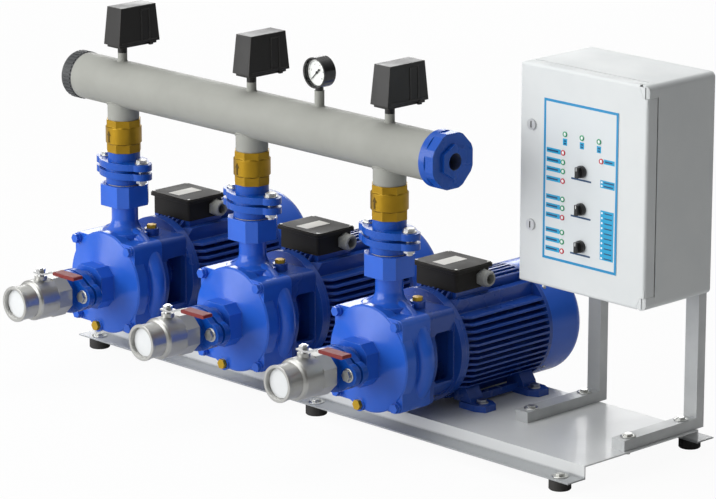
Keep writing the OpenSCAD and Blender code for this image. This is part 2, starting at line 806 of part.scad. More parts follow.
// Pump casing: cover, volute ring, bolt corners, suction boss and flared neck in one casting
module casing_form() {
    along_y() rotate_extrude() {
        polygon([
            [0, cone_y], [boss_af / 2 + 3, cone_y], [cover_r - 3, -cover_front],
            [cover_r, -cover_front + 3], [cover_r, -cover_front + rim_l],
            [cover_r - 7, -cover_front + rim_l + 5], [cover_r - 7, 0], [0, 0]
        ]);
        translate([0, -bead_y]) square([bead_r - bead_y, bead_w]);
        translate([bead_r - bead_y, 0]) circle(bead_y);
    }
    along_y(boss_y) boss(boss_af, boss_len + cut);
    slab(-cover_front + 2, bead_y) round_rect(2 * (lug_at + lug_r), 2 * (lug_at + lug_r), lug_r);
    four_lugs() along_y(lug_y) cylinder(r = lug_r - 1, h = bead_y - lug_y - 2);
    translate([drain_x, 0, drain_z]) along_y(lug_y) cylinder(r = plug_r + 5, h = -lug_y);
    cylinder(r = neck_r, h = nut_rise + cut);
    intersection() {
        rotate_extrude() difference() {
            translate([0, chamber_r - 20]) square([flare_r, flare_z - chamber_r + 20]);
            translate([flare_r, flare_z]) circle(neck_bend);
        }
        box(-flare_r - cut, flare_r + cut, -flare_r - cut, bead_y, 0, nut_rise);
    }
    translate([0, 0, nut_rise]) boss(boss_af, nut_h);
}
module pump_casings() {
    color(PAINT) placed() each_pump() difference() {
        casing_form();
        along_y(chamber_y) cylinder(r = chamber_r, h = bead_y - chamber_y + cut);
        along_y(bead_y) cylinder(r = bead_r - 14 + fit, h = front_plate + fit);
        slab(bead_y, frame_y) lantern_2d(-fit);
        along_y(boss_y - cut) cylinder(r = water_r, h = chamber_y - boss_y + 2 * cut);
        cylinder(r = water_r, h = nut_z + cut);
        four_lugs() along_y(lug_y - cut) cylinder(r = M10[0] + bolt_gap, h = bead_y - lug_y + 2 * cut);
        translate([drain_x, 0, drain_z]) along_y(lug_y - cut) cylinder(r = plug_r + bolt_gap, h = 13 + cut);
    }
}

// Square lantern with side windows, the pump's back plate and the front bearing's housing
module lantern_2d(inset) {
    intersection() {
        round_rect(2 * (lantern_w - inset), 2 * (lantern_w - inset), lug_r - inset / 4);
        union() {
            circle(lantern_w + 14 - inset);
            translate([-lantern_w, 0]) square([2 * lantern_w, lantern_w]);
        }
    }
}
module motor_brackets() {
    color(PAINT) placed() each_pump() difference() {
        union() {
            along_y(seal_y) cylinder(r = chamber_r - fit, h = bead_y - seal_y + cut);
            along_y(bead_y) cylinder(r = bead_r - 14, h = front_plate);
            slab(bead_y, bead_y + front_plate) round_rect(2 * lantern_w, 2 * lantern_w, lug_r);
            slab(bead_y, drum_y + cut) lantern_2d(0);
            along_y(drum_y) cylinder(r = drum_r, h = frame_y - drum_y);
            translate([prime_x, prime_y, lantern_w - 5])
                cylinder(r = plug_r + 6, h = prime_z - lantern_w + 5);
        }
        difference() {
            union() {
                slab(bead_y + front_plate, drum_y) lantern_2d(lantern_t);
                profile_x(-drum_r, drum_r) translate([window_y, 0]) round_rect(window_l, window_h, 8);
            }
            along_y(housing_y) cylinder(r = bearing_r + 12, h = frame_y - housing_y);
        }
        along_y(seal_y - cut) cylinder(r = seal_r + run_gap, h = seal_l + cut);
        along_y(seal_y) cylinder(r = shaft_r + 1, h = bracket_l);
        along_y(frame_y - bearing_l - 2) cylinder(r = bearing_r + run_gap, h = bearing_l + 2 + cut);
        four_lugs() along_y(bead_y - cut) cylinder(r = M10[0] + bolt_gap, h = front_plate + 2 * cut);
        translate([prime_x, prime_y, prime_z - 13]) cylinder(r = plug_r + bolt_gap, h = 13 + cut);
    }
}

// Motor frame with its fins, feet, rear wall and terminal pad
module fin_2d() {
    side = floor(0.85 * core_r / fin_pitch);
    top = floor(0.45 * core_r / fin_pitch);
    circle(core_r);
    intersection() {
        circle(fin_r);
        union() {
            for (k = [-side:side - 1]) translate([0, k * fin_pitch])
                square([3 * fin_r, fin_t], center = true);
            for (k = [-top:top]) translate([k * fin_pitch, 0]) square([fin_t, 3 * fin_r], center = true);
            for (s = [-1, 1]) translate([s * 0.49 * fin_r, core_r / 2])
                square([4.5 * fin_t, core_r - 1], center = true);
        }
    }
}
module fin_limit_2d() {
    polygon([
        [0, frame_y], [core_r + 3, frame_y], [core_r + 3, frame_y + ring_t],
        [fin_r, frame_y + ring_t + 20], [fin_r, cowl_y], [0, cowl_y]
    ]);
}
module foot_places() {
    for (sx = [-1, 1], b = [0, 1])
        translate([sx * foot_a / 2, frame_y + foot_c + b * foot_b, 0]) children();
}
module foot_form(s) {
    z = -axis_h;
    top = z + pad_t;
    translate([0, 0, z]) linear_extrude(pad_t) polygon([
        [s * 23, -13], [s * 23, 13], [s * 4, 23], [-s * 35, 23], [-s * 35, -23], [s * 4, -23]
    ]);
    slab(-17, 17) polygon([
        [-s * 11, top - 1], [-s * 14, top + 8], [-s * 38, top + 45], [-s * 55, top + 45], [-s * 55, top - 1]
    ]);
}
module motor_frames() {
    color(PAINT) placed() each_pump() difference() {
        union() {
            intersection() {
                slab(frame_y, cowl_y) fin_2d();
                along_y() rotate_extrude() fin_limit_2d();
            }
            along_y(frame_y) cylinder(r = fin_r - 4, h = ring_t);
            along_y(cowl_y - ring_t) cylinder(r = fin_r, h = ring_t);
            box(-tbox_w / 2 + 2, tbox_w / 2 - 2, tbox_y - tbox_l / 2 + 2, tbox_y + tbox_l / 2 - 2,
                core_r - 30, pad_z);
            for (s = [-1, 1], b = [0, 1])
                translate([s * foot_a / 2, frame_y + foot_c + b * foot_b, 0]) foot_form(s);
            for (s = [-1, 1]) translate([s * (foot_a / 2 - 32), 0, 0])
                box(-6, 6, frame_y + foot_c - 17, frame_y + foot_c + foot_b + 17,
                    pad_t / 2 - axis_h, 1.6 * pad_t - axis_h);
        }
        along_y(frame_y - cut) cylinder(r = stator_o + fit, h = stator_y1 - frame_y + cut);
        along_y(stator_y1 - cut) cylinder(r = stator_o - 2, h = cowl_y - rear_wall - stator_y1 + cut);
        along_y(cowl_y - rear_wall - cut)
            cylinder(r = rear_bearing_r + run_gap, h = rear_bearing_l + 1 + cut);
        along_y(cowl_y - rear_wall) cylinder(r = rear_shaft_r + 1, h = rear_wall + cut);
        foot_places() translate([0, 0, -axis_h - cut]) cylinder(r = M10[0] + bolt_gap, h = pad_t + 3 * cut);
        box(-tbox_w / 2 - tlid_over, tbox_w / 2 + tlid_over, tbox_y - tbox_l / 2 - tlid_over,
            tbox_y + tbox_l / 2 + tlid_over, pad_z, 2 * fin_r);
    }
}
module stators() {
    color("#6E5A48") placed() each_pump() {
        along_y(stator_y0) tube(stator_o, stator_r, stator_y1 - stator_y0);
        along_y(stator_y0 - 16) tube(stator_o - 5, stator_r + 3, 16.5);
        along_y(stator_y1 - 0.5) tube(stator_o - 5, stator_r + 3, coil_l + 0.5);
    }
}
module cowl_2d(r, l, e) {
    square([r - e, l]);
    square([r, l - e]);
    translate([r - e, l - e]) circle(e);
}
module fan_cowls() {
    color(PAINT) placed() each_pump() along_y(cowl_y) difference() {
        rotate_extrude() difference() {
            cowl_2d(fin_r, cowl_l, cowl_edge);
            translate([0, -cut]) cowl_2d(fin_r - cowl_t, cowl_l + cut - cowl_t, cowl_edge - cowl_t);
        }
        translate([0, 0, cowl_l - cowl_t - cut]) linear_extrude(cowl_t + 2 * cut) difference() {
            for (r = [30:14:72]) difference() {
                circle(r + 7);
                circle(r);
            }
            for (a = [0:60:120]) rotate(a) square([4 * fin_r, 8], center = true);
        }
    }
}

// Terminal boxes, lids and glands
module terminal_boxes() {
    color(BLACK) placed() each_pump() difference() {
        translate([0, tbox_y, pad_z]) linear_extrude(tbox_h) round_rect(tbox_w, tbox_l, 6);
        translate([0, tbox_y, pad_z + 3]) linear_extrude(tbox_h) round_rect(tbox_w - 6, tbox_l - 6, 4);
        translate([0, gland_y, gland_z]) along_x(tbox_w / 2 - 10) cylinder(r = gland_r + bolt_gap, h = 20);
    }
}
module terminal_lids() {
    color(BLACK) placed() each_pump() translate([0, tbox_y, pad_z + tbox_h]) {
        linear_extrude(tlid_h - 2) round_rect(tbox_w + 2 * tlid_over, tbox_l + 2 * tlid_over, 7);
        linear_extrude(tlid_h) round_rect(tbox_w + 2 * tlid_over - 4, tbox_l + 2 * tlid_over - 4, 5);
        translate([0, 0, -3]) linear_extrude(3 + cut) difference() {
            round_rect(tbox_w - 7, tbox_l - 7, 3.5);
            round_rect(tbox_w - 11, tbox_l - 11, 2);
        }
    }
}
module cable_glands() {
    color("#8F908E") placed() each_pump() translate([0, gland_y, gland_z]) along_x(tbox_w / 2) difference() {
        union() {
            translate([0, 0, -8]) cylinder(r = gland_r, h = 8 + cut);
            hexagon(30, 6);
            rotate_extrude() polygon([[0, 5], [15, 5], [15, 17], [12.5, 21], [0, 21]]);
        }
        translate([0, 0, -9]) cylinder(r = gland_bore, h = 40);
    }
}

// Fasteners and plugs of the pump units
module casing_bolts() {
    color(PAINT) placed() each_pump() four_lugs() translate([0, lug_y, 0]) rotate([90, 0, 0])
        bolt(M10, bead_y + front_plate - lug_y - 1);
}
module pipe_plug() {
    hexagon(plug_af, 7);
    translate([0, 0, -12]) cylinder(r = plug_r, h = 12 + cut);
}
module pipe_plugs() {
    color(BRASS) placed() each_pump() {
        translate([drain_x, lug_y, drain_z]) rotate([90, 0, 0]) pipe_plug();
        translate([prime_x, prime_y, prime_z]) pipe_plug();
    }
}
module motor_bolts() {
    color(STEEL) placed() each_pump() foot_places() {
        translate([0, 0, pad_t - axis_h]) bolt(M10, pad_t + base_t + 13);
        translate([0, 0, -axis_h - base_t - M10[2]]) nut(M10);
    }
}

// Oval flange pairs with gaskets and bolts
module oval_2d() {
    e = M12[0] + 14;
    rise = plate_r - e;
    big = (plate_at * plate_at + rise * rise) / (2 * rise);
    intersection() {
        translate([0, plate_r - big]) circle(big);
        translate([0, big - plate_r]) circle(big);
        square([2 * plate_at, 4 * plate_r], center = true);
    }
    for (s = [-1, 1]) translate([s * plate_at, 0]) circle(e);
}
module flange_half(neck, r) {
    difference() {
        union() {
            translate([0, 0, face_t]) linear_extrude(plate_t - face_t) oval_2d();
            cylinder(r = plate_r - 4, h = plate_t);
            cylinder(r = r, h = plate_t + neck);
        }
        translate([0, 0, -cut]) cylinder(r = water_r, h = plate_t + neck + 2 * cut);
        for (s = [-1, 1]) translate([s * plate_at, 0, -cut])
            cylinder(r = M12[0] + bolt_gap, h = plate_t + 2 * cut);
    }
}
module discharge_flanges() {
    color(FLANGE) placed() each_pump() {
        translate([0, 0, d2_z]) mirror([0, 0, 1]) flange_half(collar_d, collar_r + 4);
        translate([0, 0, d3_z]) flange_half(collar_u, collar_r);
    }
}
module suction_flanges() {
    color(FLANGE) placed() each_pump() {
        along_y(s2_y) flange_half(nipple_l, collar_r);
        translate([0, s3_y, 0]) rotate([90, 0, 0]) flange_half(collar_s, collar_r);
    }
}
module flange_gaskets() {
    color("#C9B458") placed() {
        each_pump() {
            translate([0, 0, nut_z]) tube(collar_r + 2, water_r, gasket_t);
            translate([0, 0, d2_z]) tube(plate_r - 4, water_r, gasket_t);
            along_y(s3_y) tube(plate_r - 4, water_r, gasket_t);
        }
        translate([0, 0, manifold_z]) along_x(pipe_right) tube(pipe_r + 2, pipe_r - pipe_t, gasket_t);
    }
}
module flange_bolts() {
    grip = 2 * plate_t + gasket_t;
    color(STEEL) placed() each_pump() for (s = [-1, 1]) translate([s * plate_at, 0, 0]) {
        translate([0, 0, d4_z]) bolt(M12, grip + 12);
        translate([0, 0, d1_z - M12[2]]) nut(M12);
        translate([0, s4_y, 0]) rotate([90, 0, 0]) bolt(M12, grip + 12);
        along_y(s1_y) nut(M12);
    }
}

// Check valve: body, and a guided disc that lifts off its seat
seat_z = 24;
disc_t = 4;
check_chamber = disc_t + check_lift + 8;
module check_valve_bodies() {
    color(BRASS) placed() each_pump() translate([0, 0, check_z]) difference() {
        union() {
            octagon(2 * check_r - 6, check_h);
            rotate_extrude() polygon([
                [0, seat_z - 10], [check_r - 4, seat_z - 10], [check_r, seat_z - 6],
                [check_r, check_h - 15], [check_r - 4, check_h - 11], [0, check_h - 11]
            ]);
        }
        translate([0, 0, -cut]) cylinder(r = water_r, h = seat_z - 4 + cut);
        cylinder(r = water_r - 4, h = seat_z + cut);
        translate([0, 0, seat_z]) cylinder(r = water_r + 5, h = check_chamber);
        difference() {
            translate([0, 0, seat_z]) cylinder(r = water_r, h = check_h);
            translate([0, 0, seat_z + check_chamber + 2]) cube([4 * water_r, 8, 4], center = true);
        }
        cylinder(r = 3 + run_gap, h = check_h);
    }
}
module check_disc(i) {
    color("#8A8D90") one_pump(i) translate([0, 0, check_z + seat_z + 0.1]) {
        cylinder(r = water_r - 0.5, h = disc_t);
        cylinder(r = 3, h = check_chamber + 8);
    }
}

// Ball valve: body, seats, ball with stem, lever with grip, and a plug in the mouth
cavity_r = ball_r + 1;
seat_l = ball_r - 3;
body_r = cavity_r + 7.5;
stem_r = 6;
hub_z = body_r + 10;
module ball_valve_bodies() {
    color(STEEL) placed() each_pump() difference() {
        union() {
            along_y(mouth_y) rotate_extrude() polygon([
                [0, 0], [mouth_r + 5, 0], [mouth_r + 5.5, 1], [mouth_r + 5.5, 5], [mouth_r + 4, 7],
                [mouth_r + 4, 34], [body_r - 2, 37], [body_r, 41], [body_r, valve_l - 30], [0, valve_l - 30]
            ]);
            along_y(valve_y - 31) octagon(2 * body_r - 2, 31);
            translate([0, stem_y, 0]) cylinder(r = 12, h = body_r + 6);
        }
        along_y(mouth_y - cut) cylinder(r = mouth_r, h = mouth_l + cut);
        along_y(mouth_y) cylinder(r = mouth_r - 1.5, h = mouth_l + 4);
        along_y(mouth_y) cylinder(r = water_r, h = valve_l + cut);
        along_y(stem_y - seat_l) cylinder(r = cavity_r, h = 2 * seat_l);
        translate([0, stem_y, 0]) cylinder(r = stem_r + run_gap, h = body_r + 10);
    }
}
module valve_seats() {
    color("#EFEFEA") placed() each_pump() translate([0, stem_y, 0]) difference() {
        union() {
            along_y(-seat_l) tube(cavity_r - fit, water_r, 9);
            along_y(seat_l - 9) tube(cavity_r - fit, water_r, 9);
        }
        sphere(r = ball_r + fit);
    }
}
module port_plugs() {
    color("#D9DBDB") placed() each_pump() along_y(mouth_y + mouth_l)
        cylinder(r = mouth_r - 1.5 - fit, h = 4);
}
module valve_ball(i) {
    color("#BFC3C6") one_pump(i) translate([0, stem_y, 0]) {
        difference() {
            sphere(r = ball_r);
            along_x(-2 * ball_r) cylinder(r = water_r - 2, h = 4 * ball_r);
        }
        translate([0, 0, water_r]) cylinder(r = stem_r, h = hub_z - water_r);
        translate([0, 0, hub_z - 1]) cylinder(r = stem_r - 1, h = 12);
    }
}
module lever_strip(w) {
    slab(-w / 2, w / 2) polygon([
        [-11, hub_z], [14, hub_z], [44, hub_z + 9], [lever_l, hub_z + 9],
        [lever_l, hub_z + 12], [43, hub_z + 12], [13, hub_z + 3], [-11, hub_z + 3]
    ]);
}
module valve_lever(i) {
    one_pump(i) translate([0, stem_y, 0]) {
        color(STEEL) difference() {
            lever_strip(18);
            translate([0, 0, hub_z - cut]) cylinder(r = stem_r - 1 + run_gap, h = 10);
        }
        color(STEEL) translate([0, 0, hub_z + 3 + seat_gap]) difference() {
            hexagon(16, 6);
            translate([0, 0, -cut]) cylinder(r = stem_r - 1 + run_gap, h = 10);
        }
        color("#B5302A") difference() {
            slab(-11, 11) translate([(48 + lever_l + 3) / 2, hub_z + 10.5]) round_rect(lever_l - 45, 7, 2.5);
            box(40, lever_l + seat_gap, -9 - seat_gap, 9 + seat_gap,
                hub_z + 9 - seat_gap, hub_z + 12 + seat_gap);
        }
    }
}

// Bearings, shaft seals and the turning assembly of each pump
module bearings() {
    color("#9DA0A3") placed() each_pump() {
        along_y(frame_y - bearing_l - 2) tube(bearing_r, shaft_r + run_gap, bearing_l);
        along_y(cowl_y - rear_wall + 1) tube(rear_bearing_r, rear_shaft_r + run_gap, rear_bearing_l);
    }
}
module shaft_seals() {
    color("#3C3E40") placed() each_pump() along_y(seal_y) tube(seal_r, shaft_r + run_gap, seal_l);
}
module shaft_2d() {
    polygon([
        [0, imp_y0 - 8], [imp_shaft_r, imp_y0 - 8], [imp_shaft_r, imp_y1], [shaft_r, imp_y1],
        [shaft_r, frame_y + 4], [shaft_mid_r, frame_y + 4], [shaft_mid_r, core_y0 - 6],
        [shaft_mid_r + 3, core_y0 - 6], [shaft_mid_r + 3, core_y0], [shaft_mid_r, core_y0],
        [shaft_mid_r, cowl_y - rear_wall - 4], [rear_shaft_r, cowl_y - rear_wall - 4],
        [rear_shaft_r, fan_y], [fan_shaft_r, fan_y], [fan_shaft_r, fan_y + fan_l], [0, fan_y + fan_l]
    ]);
}
module impeller() {
    difference() {
        union() {
            along_y(imp_y0) cylinder(r = imp_shaft_r + 10, h = imp_y1 - imp_y0);
            along_y(imp_y1 - 5) cylinder(r = imp_r, h = 5);
            along_y(imp_y0) tube(imp_r, water_r + 6, 4);
            for (a = [0:60:300]) rotate([0, a, 0]) along_y(imp_y0 + 2) rotate(18)
                translate([imp_shaft_r + 8, -2, 0]) cube([imp_r - imp_shaft_r - 14, 4, imp_y1 - imp_y0 - 4]);
        }
        along_y(imp_y0 - cut) cylinder(r = imp_shaft_r + run_gap, h = imp_y1 - imp_y0 + 2 * cut);
    }
}
module fan() {
    difference() {
        union() {
            along_y(fan_y) cylinder(r = fan_shaft_r + 9, h = fan_l);
            along_y(fan_y) cylinder(r = 0.45 * fin_r, h = 4);
            for (a = [0:45:315]) rotate([0, a, 0])
                box(fan_shaft_r + 6, 0.8 * fin_r, fan_y, fan_y + fan_l, -1.5, 1.5);
        }
        along_y(fan_y - cut) cylinder(r = fan_shaft_r + run_gap, h = fan_l + 2 * cut);
    }
}
module rotor(i) {
    one_pump(i) {
        color("#A9ABAD") along_y() rotate_extrude() shaft_2d();
        color("#7C7E80") along_y(core_y0 + seat_gap)
            tube(stator_r - air_gap, shaft_mid_r + run_gap, core_y1 - core_y0);
        color("#B08A3A") translate([0, -seat_gap, 0]) impeller();
        color("#2A2A2A") translate([0, seat_gap, 0]) fan();
    }
}

base_plate();
rubber_feet();
frame_bolts();
cabinet_stands();
cabinet_box();
hinge_blocks();
gear_plate();
switchgear();
manifold_pipe();
manifold_branches();
outlet_cap();
stop_cap();
pressure_switches();
switch_covers();
gauge_case();
gauge_dial();
gauge_lens();
gauge_pointer();
pump_casings();
motor_brackets();
motor_frames();
stators();
fan_cowls();
terminal_boxes();
terminal_lids();
cable_glands();
casing_bolts();
pipe_plugs();
motor_bolts();
discharge_flanges();
suction_flanges();
flange_gaskets();
flange_bolts();
check_valve_bodies();
ball_valve_bodies();
valve_seats();
port_plugs();
bearings();
shaft_seals();
cabinet_door();
door_seal();
control_panel();
indicator_lamps();
lock(lock_z[0]);  // lock_upper
lock(lock_z[1]);  // lock_lower
selector_knob(1);  // selector_knob_1
selector_knob(2);  // selector_knob_2
selector_knob(3);  // selector_knob_3
valve_lever(1);  // valve_lever_1
valve_lever(2);  // valve_lever_2
valve_lever(3);  // valve_lever_3
valve_ball(1);  // valve_ball_1
valve_ball(2);  // valve_ball_2
valve_ball(3);  // valve_ball_3
rotor(1);  // rotor_1
rotor(2);  // rotor_2
rotor(3);  // rotor_3
check_disc(1);  // check_disc_1
check_disc(2);  // check_disc_2
check_disc(3);  // check_disc_3
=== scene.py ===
"""Looks of a three-pump booster set: finishes, small hardware, printed panel, studio."""

import logging
import math
from dataclasses import dataclass, field
from enum import Enum
from typing import Any, Callable, Iterable, Sequence

import bmesh
import bpy
from mathutils import Matrix, Vector


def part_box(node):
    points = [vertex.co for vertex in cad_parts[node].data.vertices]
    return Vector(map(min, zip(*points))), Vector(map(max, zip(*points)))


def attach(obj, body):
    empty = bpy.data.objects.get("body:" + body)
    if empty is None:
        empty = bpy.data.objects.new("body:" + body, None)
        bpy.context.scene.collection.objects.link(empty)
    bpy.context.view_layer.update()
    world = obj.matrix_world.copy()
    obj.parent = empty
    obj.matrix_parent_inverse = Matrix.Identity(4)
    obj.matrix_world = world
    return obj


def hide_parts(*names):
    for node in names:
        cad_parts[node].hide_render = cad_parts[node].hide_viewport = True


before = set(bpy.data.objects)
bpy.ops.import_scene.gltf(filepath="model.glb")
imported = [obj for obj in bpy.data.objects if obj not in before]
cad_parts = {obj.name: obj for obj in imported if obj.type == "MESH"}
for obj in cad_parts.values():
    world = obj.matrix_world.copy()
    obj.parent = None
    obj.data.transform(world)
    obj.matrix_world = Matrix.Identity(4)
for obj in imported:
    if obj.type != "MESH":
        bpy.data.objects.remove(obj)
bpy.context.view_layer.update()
logging.basicConfig(level=logging.INFO, format="%(name)s: %(message)s")
log = logging.getLogger("pump_set")
Socket = bpy.types.NodeSocket
Work = bmesh.types.BMesh
Pair = tuple[float, float]
MM = 0.001
UP, FRONT, BACK = Vector((0, 0, 1)), Vector((0, -1, 0)), Vector((0, 1, 0))
# The middle pump's neck, where the set's own millimetres start, seen from the middle of the whole set
NECK_X, NECK_Y = -170.5, -62.25
# Pitch of a pipe thread with 11 turns to the inch, in millimetres
THREAD_PITCH = 2.3
# Clouds of shade are about 70 mm across; these levels of their noise bring in the shade and the roughness
CLOUDS_PER_METRE = 14.0
SHADE_SPAN, ROUGH_SPAN = (0.35, 0.7), (0.3, 0.7)
# How far the rounded normal leans off the flat one where the painted edge highlight starts and is full, and
# how strong it is
HIGHLIGHT_SPAN, HIGHLIGHT_SHARE = (0.995, 0.9), 0.55
# Drawn lines are 25 times as long as they are wide
LINE_STRETCH = 0.04


def linear(code: str) -> tuple[float, float, float, float]:
    """Turn an sRGB hex colour into linear RGBA.

    Args:
        code: colour as #RRGGBB.

    Returns:
        Linear red, green, blue and an alpha of 1.
    """
    parts = [int(code[i:i + 2], 16) / 255 for i in (1, 3, 5)]
    r, g, b = (c / 12.92 if c <= 0.04045 else ((c + 0.055) / 1.055) ** 2.4 for c in parts)
    return r, g, b, 1.0


def add(tree: bpy.types.NodeTree, kind: str, inputs: dict[Any, Any] | None = None, out: int | str = 0,
        **settings: Any) -> Socket | None:
    """Add one node to a tree, with its settings, values and links.

    Args:
        tree: tree that gets the node.
        kind: Blender's node type.
        inputs: value or output socket for each named or numbered input.
        out: which output to give back.
        settings: attributes of the node.

    Returns:
        The chosen output, or None for a node that ends a tree.
    """
    made = tree.nodes.new(kind)
    for key, value in settings.items():
        setattr(made, key, value)
    for key, value in (inputs or {}).items():
        if isinstance(value, Socket):
            tree.links.new(value, made.inputs[key])
        else:
            made.inputs[key].default_value = value
    return made.outputs[out] if made.outputs else None


def new_material(name: str) -> bpy.types.Material:
    """Start a material with an empty node tree.

    Args:
        name: the material's name.

    Returns:
        The new material.
    """
    made = bpy.data.materials.new(name)
    made.use_nodes = True
    made.node_tree.nodes.clear()
    return made


class Grain(Enum):
    """How a surface was made, which sets the pattern that its finish draws."""

    CAST = "sand-cast skin under paint"
    PEEL = "sprayed paint on sheet"
    POWDER = "textured powder coat"
    BRUSHED = "drawn or brushed lines along X"
    TURNED = "lathe marks around Y"
    MOULDED = "grained moulding"
    SMOOTH = "polished"


@dataclass(frozen=True)
class Change:
    """A second colour, which starts at a limit along one axis of the frame, in metres."""

    axis: int
    limit: float
    colour: str
    rough: float
    metal: float = 0.0


@dataclass(frozen=True)
class Dust:
    """A painted shade: a darker colour up to a low height, which is gone at a second height, both in metres.
    """

    low: float
    gone: float
    colour: str
    share: float = 0.85


@dataclass(frozen=True)
class Finish:
    """One surface finish, drawn by nodes on Object coordinates.

    The pattern's pitch and depth and the edges' radius are real sizes in millimetres; a pitch too fine for
    the render is drawn coarser. The shade lies over the colour in clouds, as strong as the mottle. The
    roughness varies by the spread to both sides.
    """

    name: str
    colour: str
    rough: float
    grain: Grain
    pitch_mm: float
    depth_mm: float
    shade: str
    mottle: float = 0.5
    metal: float = 0.0
    ior: float = 1.5
    coat: float = 0.0
    edge_mm: float = 0.6
    edge_colour: str = ""
    spread: float = 0.08
    change: Change | None = None
    dust: Dust | None = None

    def pattern(self, tree: bpy.types.NodeTree, where: Socket) -> Socket:
        """Draw the surface pattern.

        Args:
            tree: the material's node tree.
            where: Object coordinates.

        Returns:
            Height of the pattern, 0 to 1.
        """
        per_metre = 1.0 / (self.pitch_mm * MM)
        if self.grain is Grain.TURNED:
            return add(tree, "ShaderNodeTexWave", {"Vector": where, "Scale": per_metre / math.tau,
                       "Distortion": 1.5, "Detail": 2.0, "Detail Scale": 3.0}, "Fac", wave_type="BANDS",
                       bands_direction="Y")
        if self.grain is Grain.MOULDED:
            return add(tree, "ShaderNodeTexVoronoi", {"Vector": where, "Scale": per_metre}, "Distance",
                       feature="SMOOTH_F1")
        if self.grain is Grain.BRUSHED:
            where = add(tree, "ShaderNodeMapping", {"Vector": where, "Scale": (LINE_STRETCH, 1.0, 1.0)})
        detail = {Grain.CAST: 6.0, Grain.POWDER: 1.0}.get(self.grain, 3.0)
        return add(tree, "ShaderNodeTexNoise", {"Vector": where, "Scale": per_metre, "Detail": detail,
                   "Roughness": 0.6}, "Fac")

    def tint(self, tree: bpy.types.NodeTree, where: Socket, clouds: Socket, rounded: Socket) -> Socket:
        """Draw the colour: clouds of the shade, painted shade near the ground and painted highlights on the
        edges.

        Args:
            tree: the material's node tree.
            where: Object coordinates.
            clouds: slow noise over the surface.
            rounded: normal that turns over at the edges.

        Returns:
            The colour.
        """
        amount = add(tree, "ShaderNodeMapRange", {0: clouds, 1: SHADE_SPAN[0], 2: SHADE_SPAN[1], 3: 0.0,
                     4: self.mottle})
        tint = add(tree, "ShaderNodeMix", {"Factor": amount, "A": linear(self.colour),
                   "B": linear(self.shade)}, "Result", data_type="RGBA")
        # Painted shade: the colour turns darker towards the floor
        if self.dust:
            rise = add(tree, "ShaderNodeSeparateXYZ", {0: where}, "Z")
            share = add(tree, "ShaderNodeMapRange", {0: rise, 1: self.dust.low, 2: self.dust.gone,
                        3: self.dust.share, 4: 0.0})
            tint = add(tree, "ShaderNodeMix", {"Factor": share, "A": tint, "B": linear(self.dust.colour)},
                       "Result", data_type="RGBA")
        # Painted highlight: a paler colour where the rounded normal turns over at an edge
        if self.edge_colour:
            flat = add(tree, "ShaderNodeNewGeometry", out="Normal")
            turn = add(tree, "ShaderNodeVectorMath", {0: rounded, 1: flat}, "Value", operation="DOT_PRODUCT")
            painted_highlight = add(tree, "ShaderNodeMapRange", {0: turn, 1: HIGHLIGHT_SPAN[0], 2: HIGHLIGHT_SPAN[1], 3: 0.0,
                       4: HIGHLIGHT_SHARE})
            tint = add(tree, "ShaderNodeMix", {"Factor": painted_highlight, "A": tint, "B": linear(self.edge_colour)},
                       "Result", data_type="RGBA")
        return tint

    def build(self) -> bpy.types.Material:
        """Build the material.

        Returns:
            A material with colour, roughness and bump from its nodes.
        """
        made = new_material(self.name)
        tree = made.node_tree
        where = add(tree, "ShaderNodeTexCoord", out="Object")
        clouds = add(tree, "ShaderNodeTexNoise", {"Vector": where, "Scale": CLOUDS_PER_METRE,
                     "Detail": 3.0, "Roughness": 0.55}, "Fac")
        rounded = add(tree, "ShaderNodeBevel", {"Radius": self.edge_mm * MM}, samples=4)
        tint = self.tint(tree, where, clouds, rounded)
        least, most = max(0.02, self.rough - self.spread), min(1.0, self.rough + self.spread)
        rough = add(tree, "ShaderNodeMapRange", {0: clouds, 1: ROUGH_SPAN[0], 2: ROUGH_SPAN[1], 3: least,
                    4: most})
        bump = add(tree, "ShaderNodeBump", {"Strength": 1.0, "Distance": self.depth_mm * MM,
                   "Height": self.pattern(tree, where), "Normal": rounded})
        values: dict[str, Any] = {"Base Color": tint, "Roughness": rough, "Normal": bump}
        values["Metallic"] = self.metal
        if self.metal < 0.5:
            values["IOR"] = self.ior
        if self.coat:
            values.update({"Coat Weight": self.coat, "Coat Roughness": 0.06})
        if self.change:
            place = add(tree, "ShaderNodeSeparateXYZ", {0: where}, self.change.axis)
            past = add(tree, "ShaderNodeMath", {0: place, 1: self.change.limit}, operation="GREATER_THAN")
            values["Base Color"] = add(tree, "ShaderNodeMix", {"Factor": past, "A": tint,
                                       "B": linear(self.change.colour)}, "Result", data_type="RGBA")
            values["Roughness"] = add(tree, "ShaderNodeMix", {0: past, 2: rough, 3: self.change.rough})
            values["Metallic"] = add(tree, "ShaderNodeMix", {0: past, 2: self.metal, 3: self.change.metal})
        shader = add(tree, "ShaderNodeBsdfPrincipled", values)
        add(tree, "ShaderNodeOutputMaterial", {"Surface": shader})
        return made


@dataclass(frozen=True)
class ClearLens:
    """Clear gauge window: a thin polished sheet of acrylic."""

    name: str = "clear_acrylic"
    rough: float = 0.02
    haze_per_metre: float = 60.0

    def build(self) -> bpy.types.Material:
        """Build the material.

        Returns:
            A see-through material with a faint haze that varies over the sheet.
        """
        made = new_material(self.name)
        tree = made.node_tree
        where = add(tree, "ShaderNodeTexCoord", out="Object")
        haze = add(tree, "ShaderNodeTexNoise", {"Vector": where, "Scale": self.haze_per_metre}, "Fac")
        rough = add(tree, "ShaderNodeMapRange", {0: haze, 1: 0.0, 2: 1.0, 3: 0.0, 4: self.rough * 2})
        glass = add(tree, "ShaderNodeBsdfPrincipled", {"Base Color": linear("#F6FAFB"), "Roughness": rough,
                    "IOR": 1.05, "Transmission Weight": 1.0, "Alpha": 0.25})
        add(tree, "ShaderNodeOutputMaterial", {"Surface": glass})
        return made


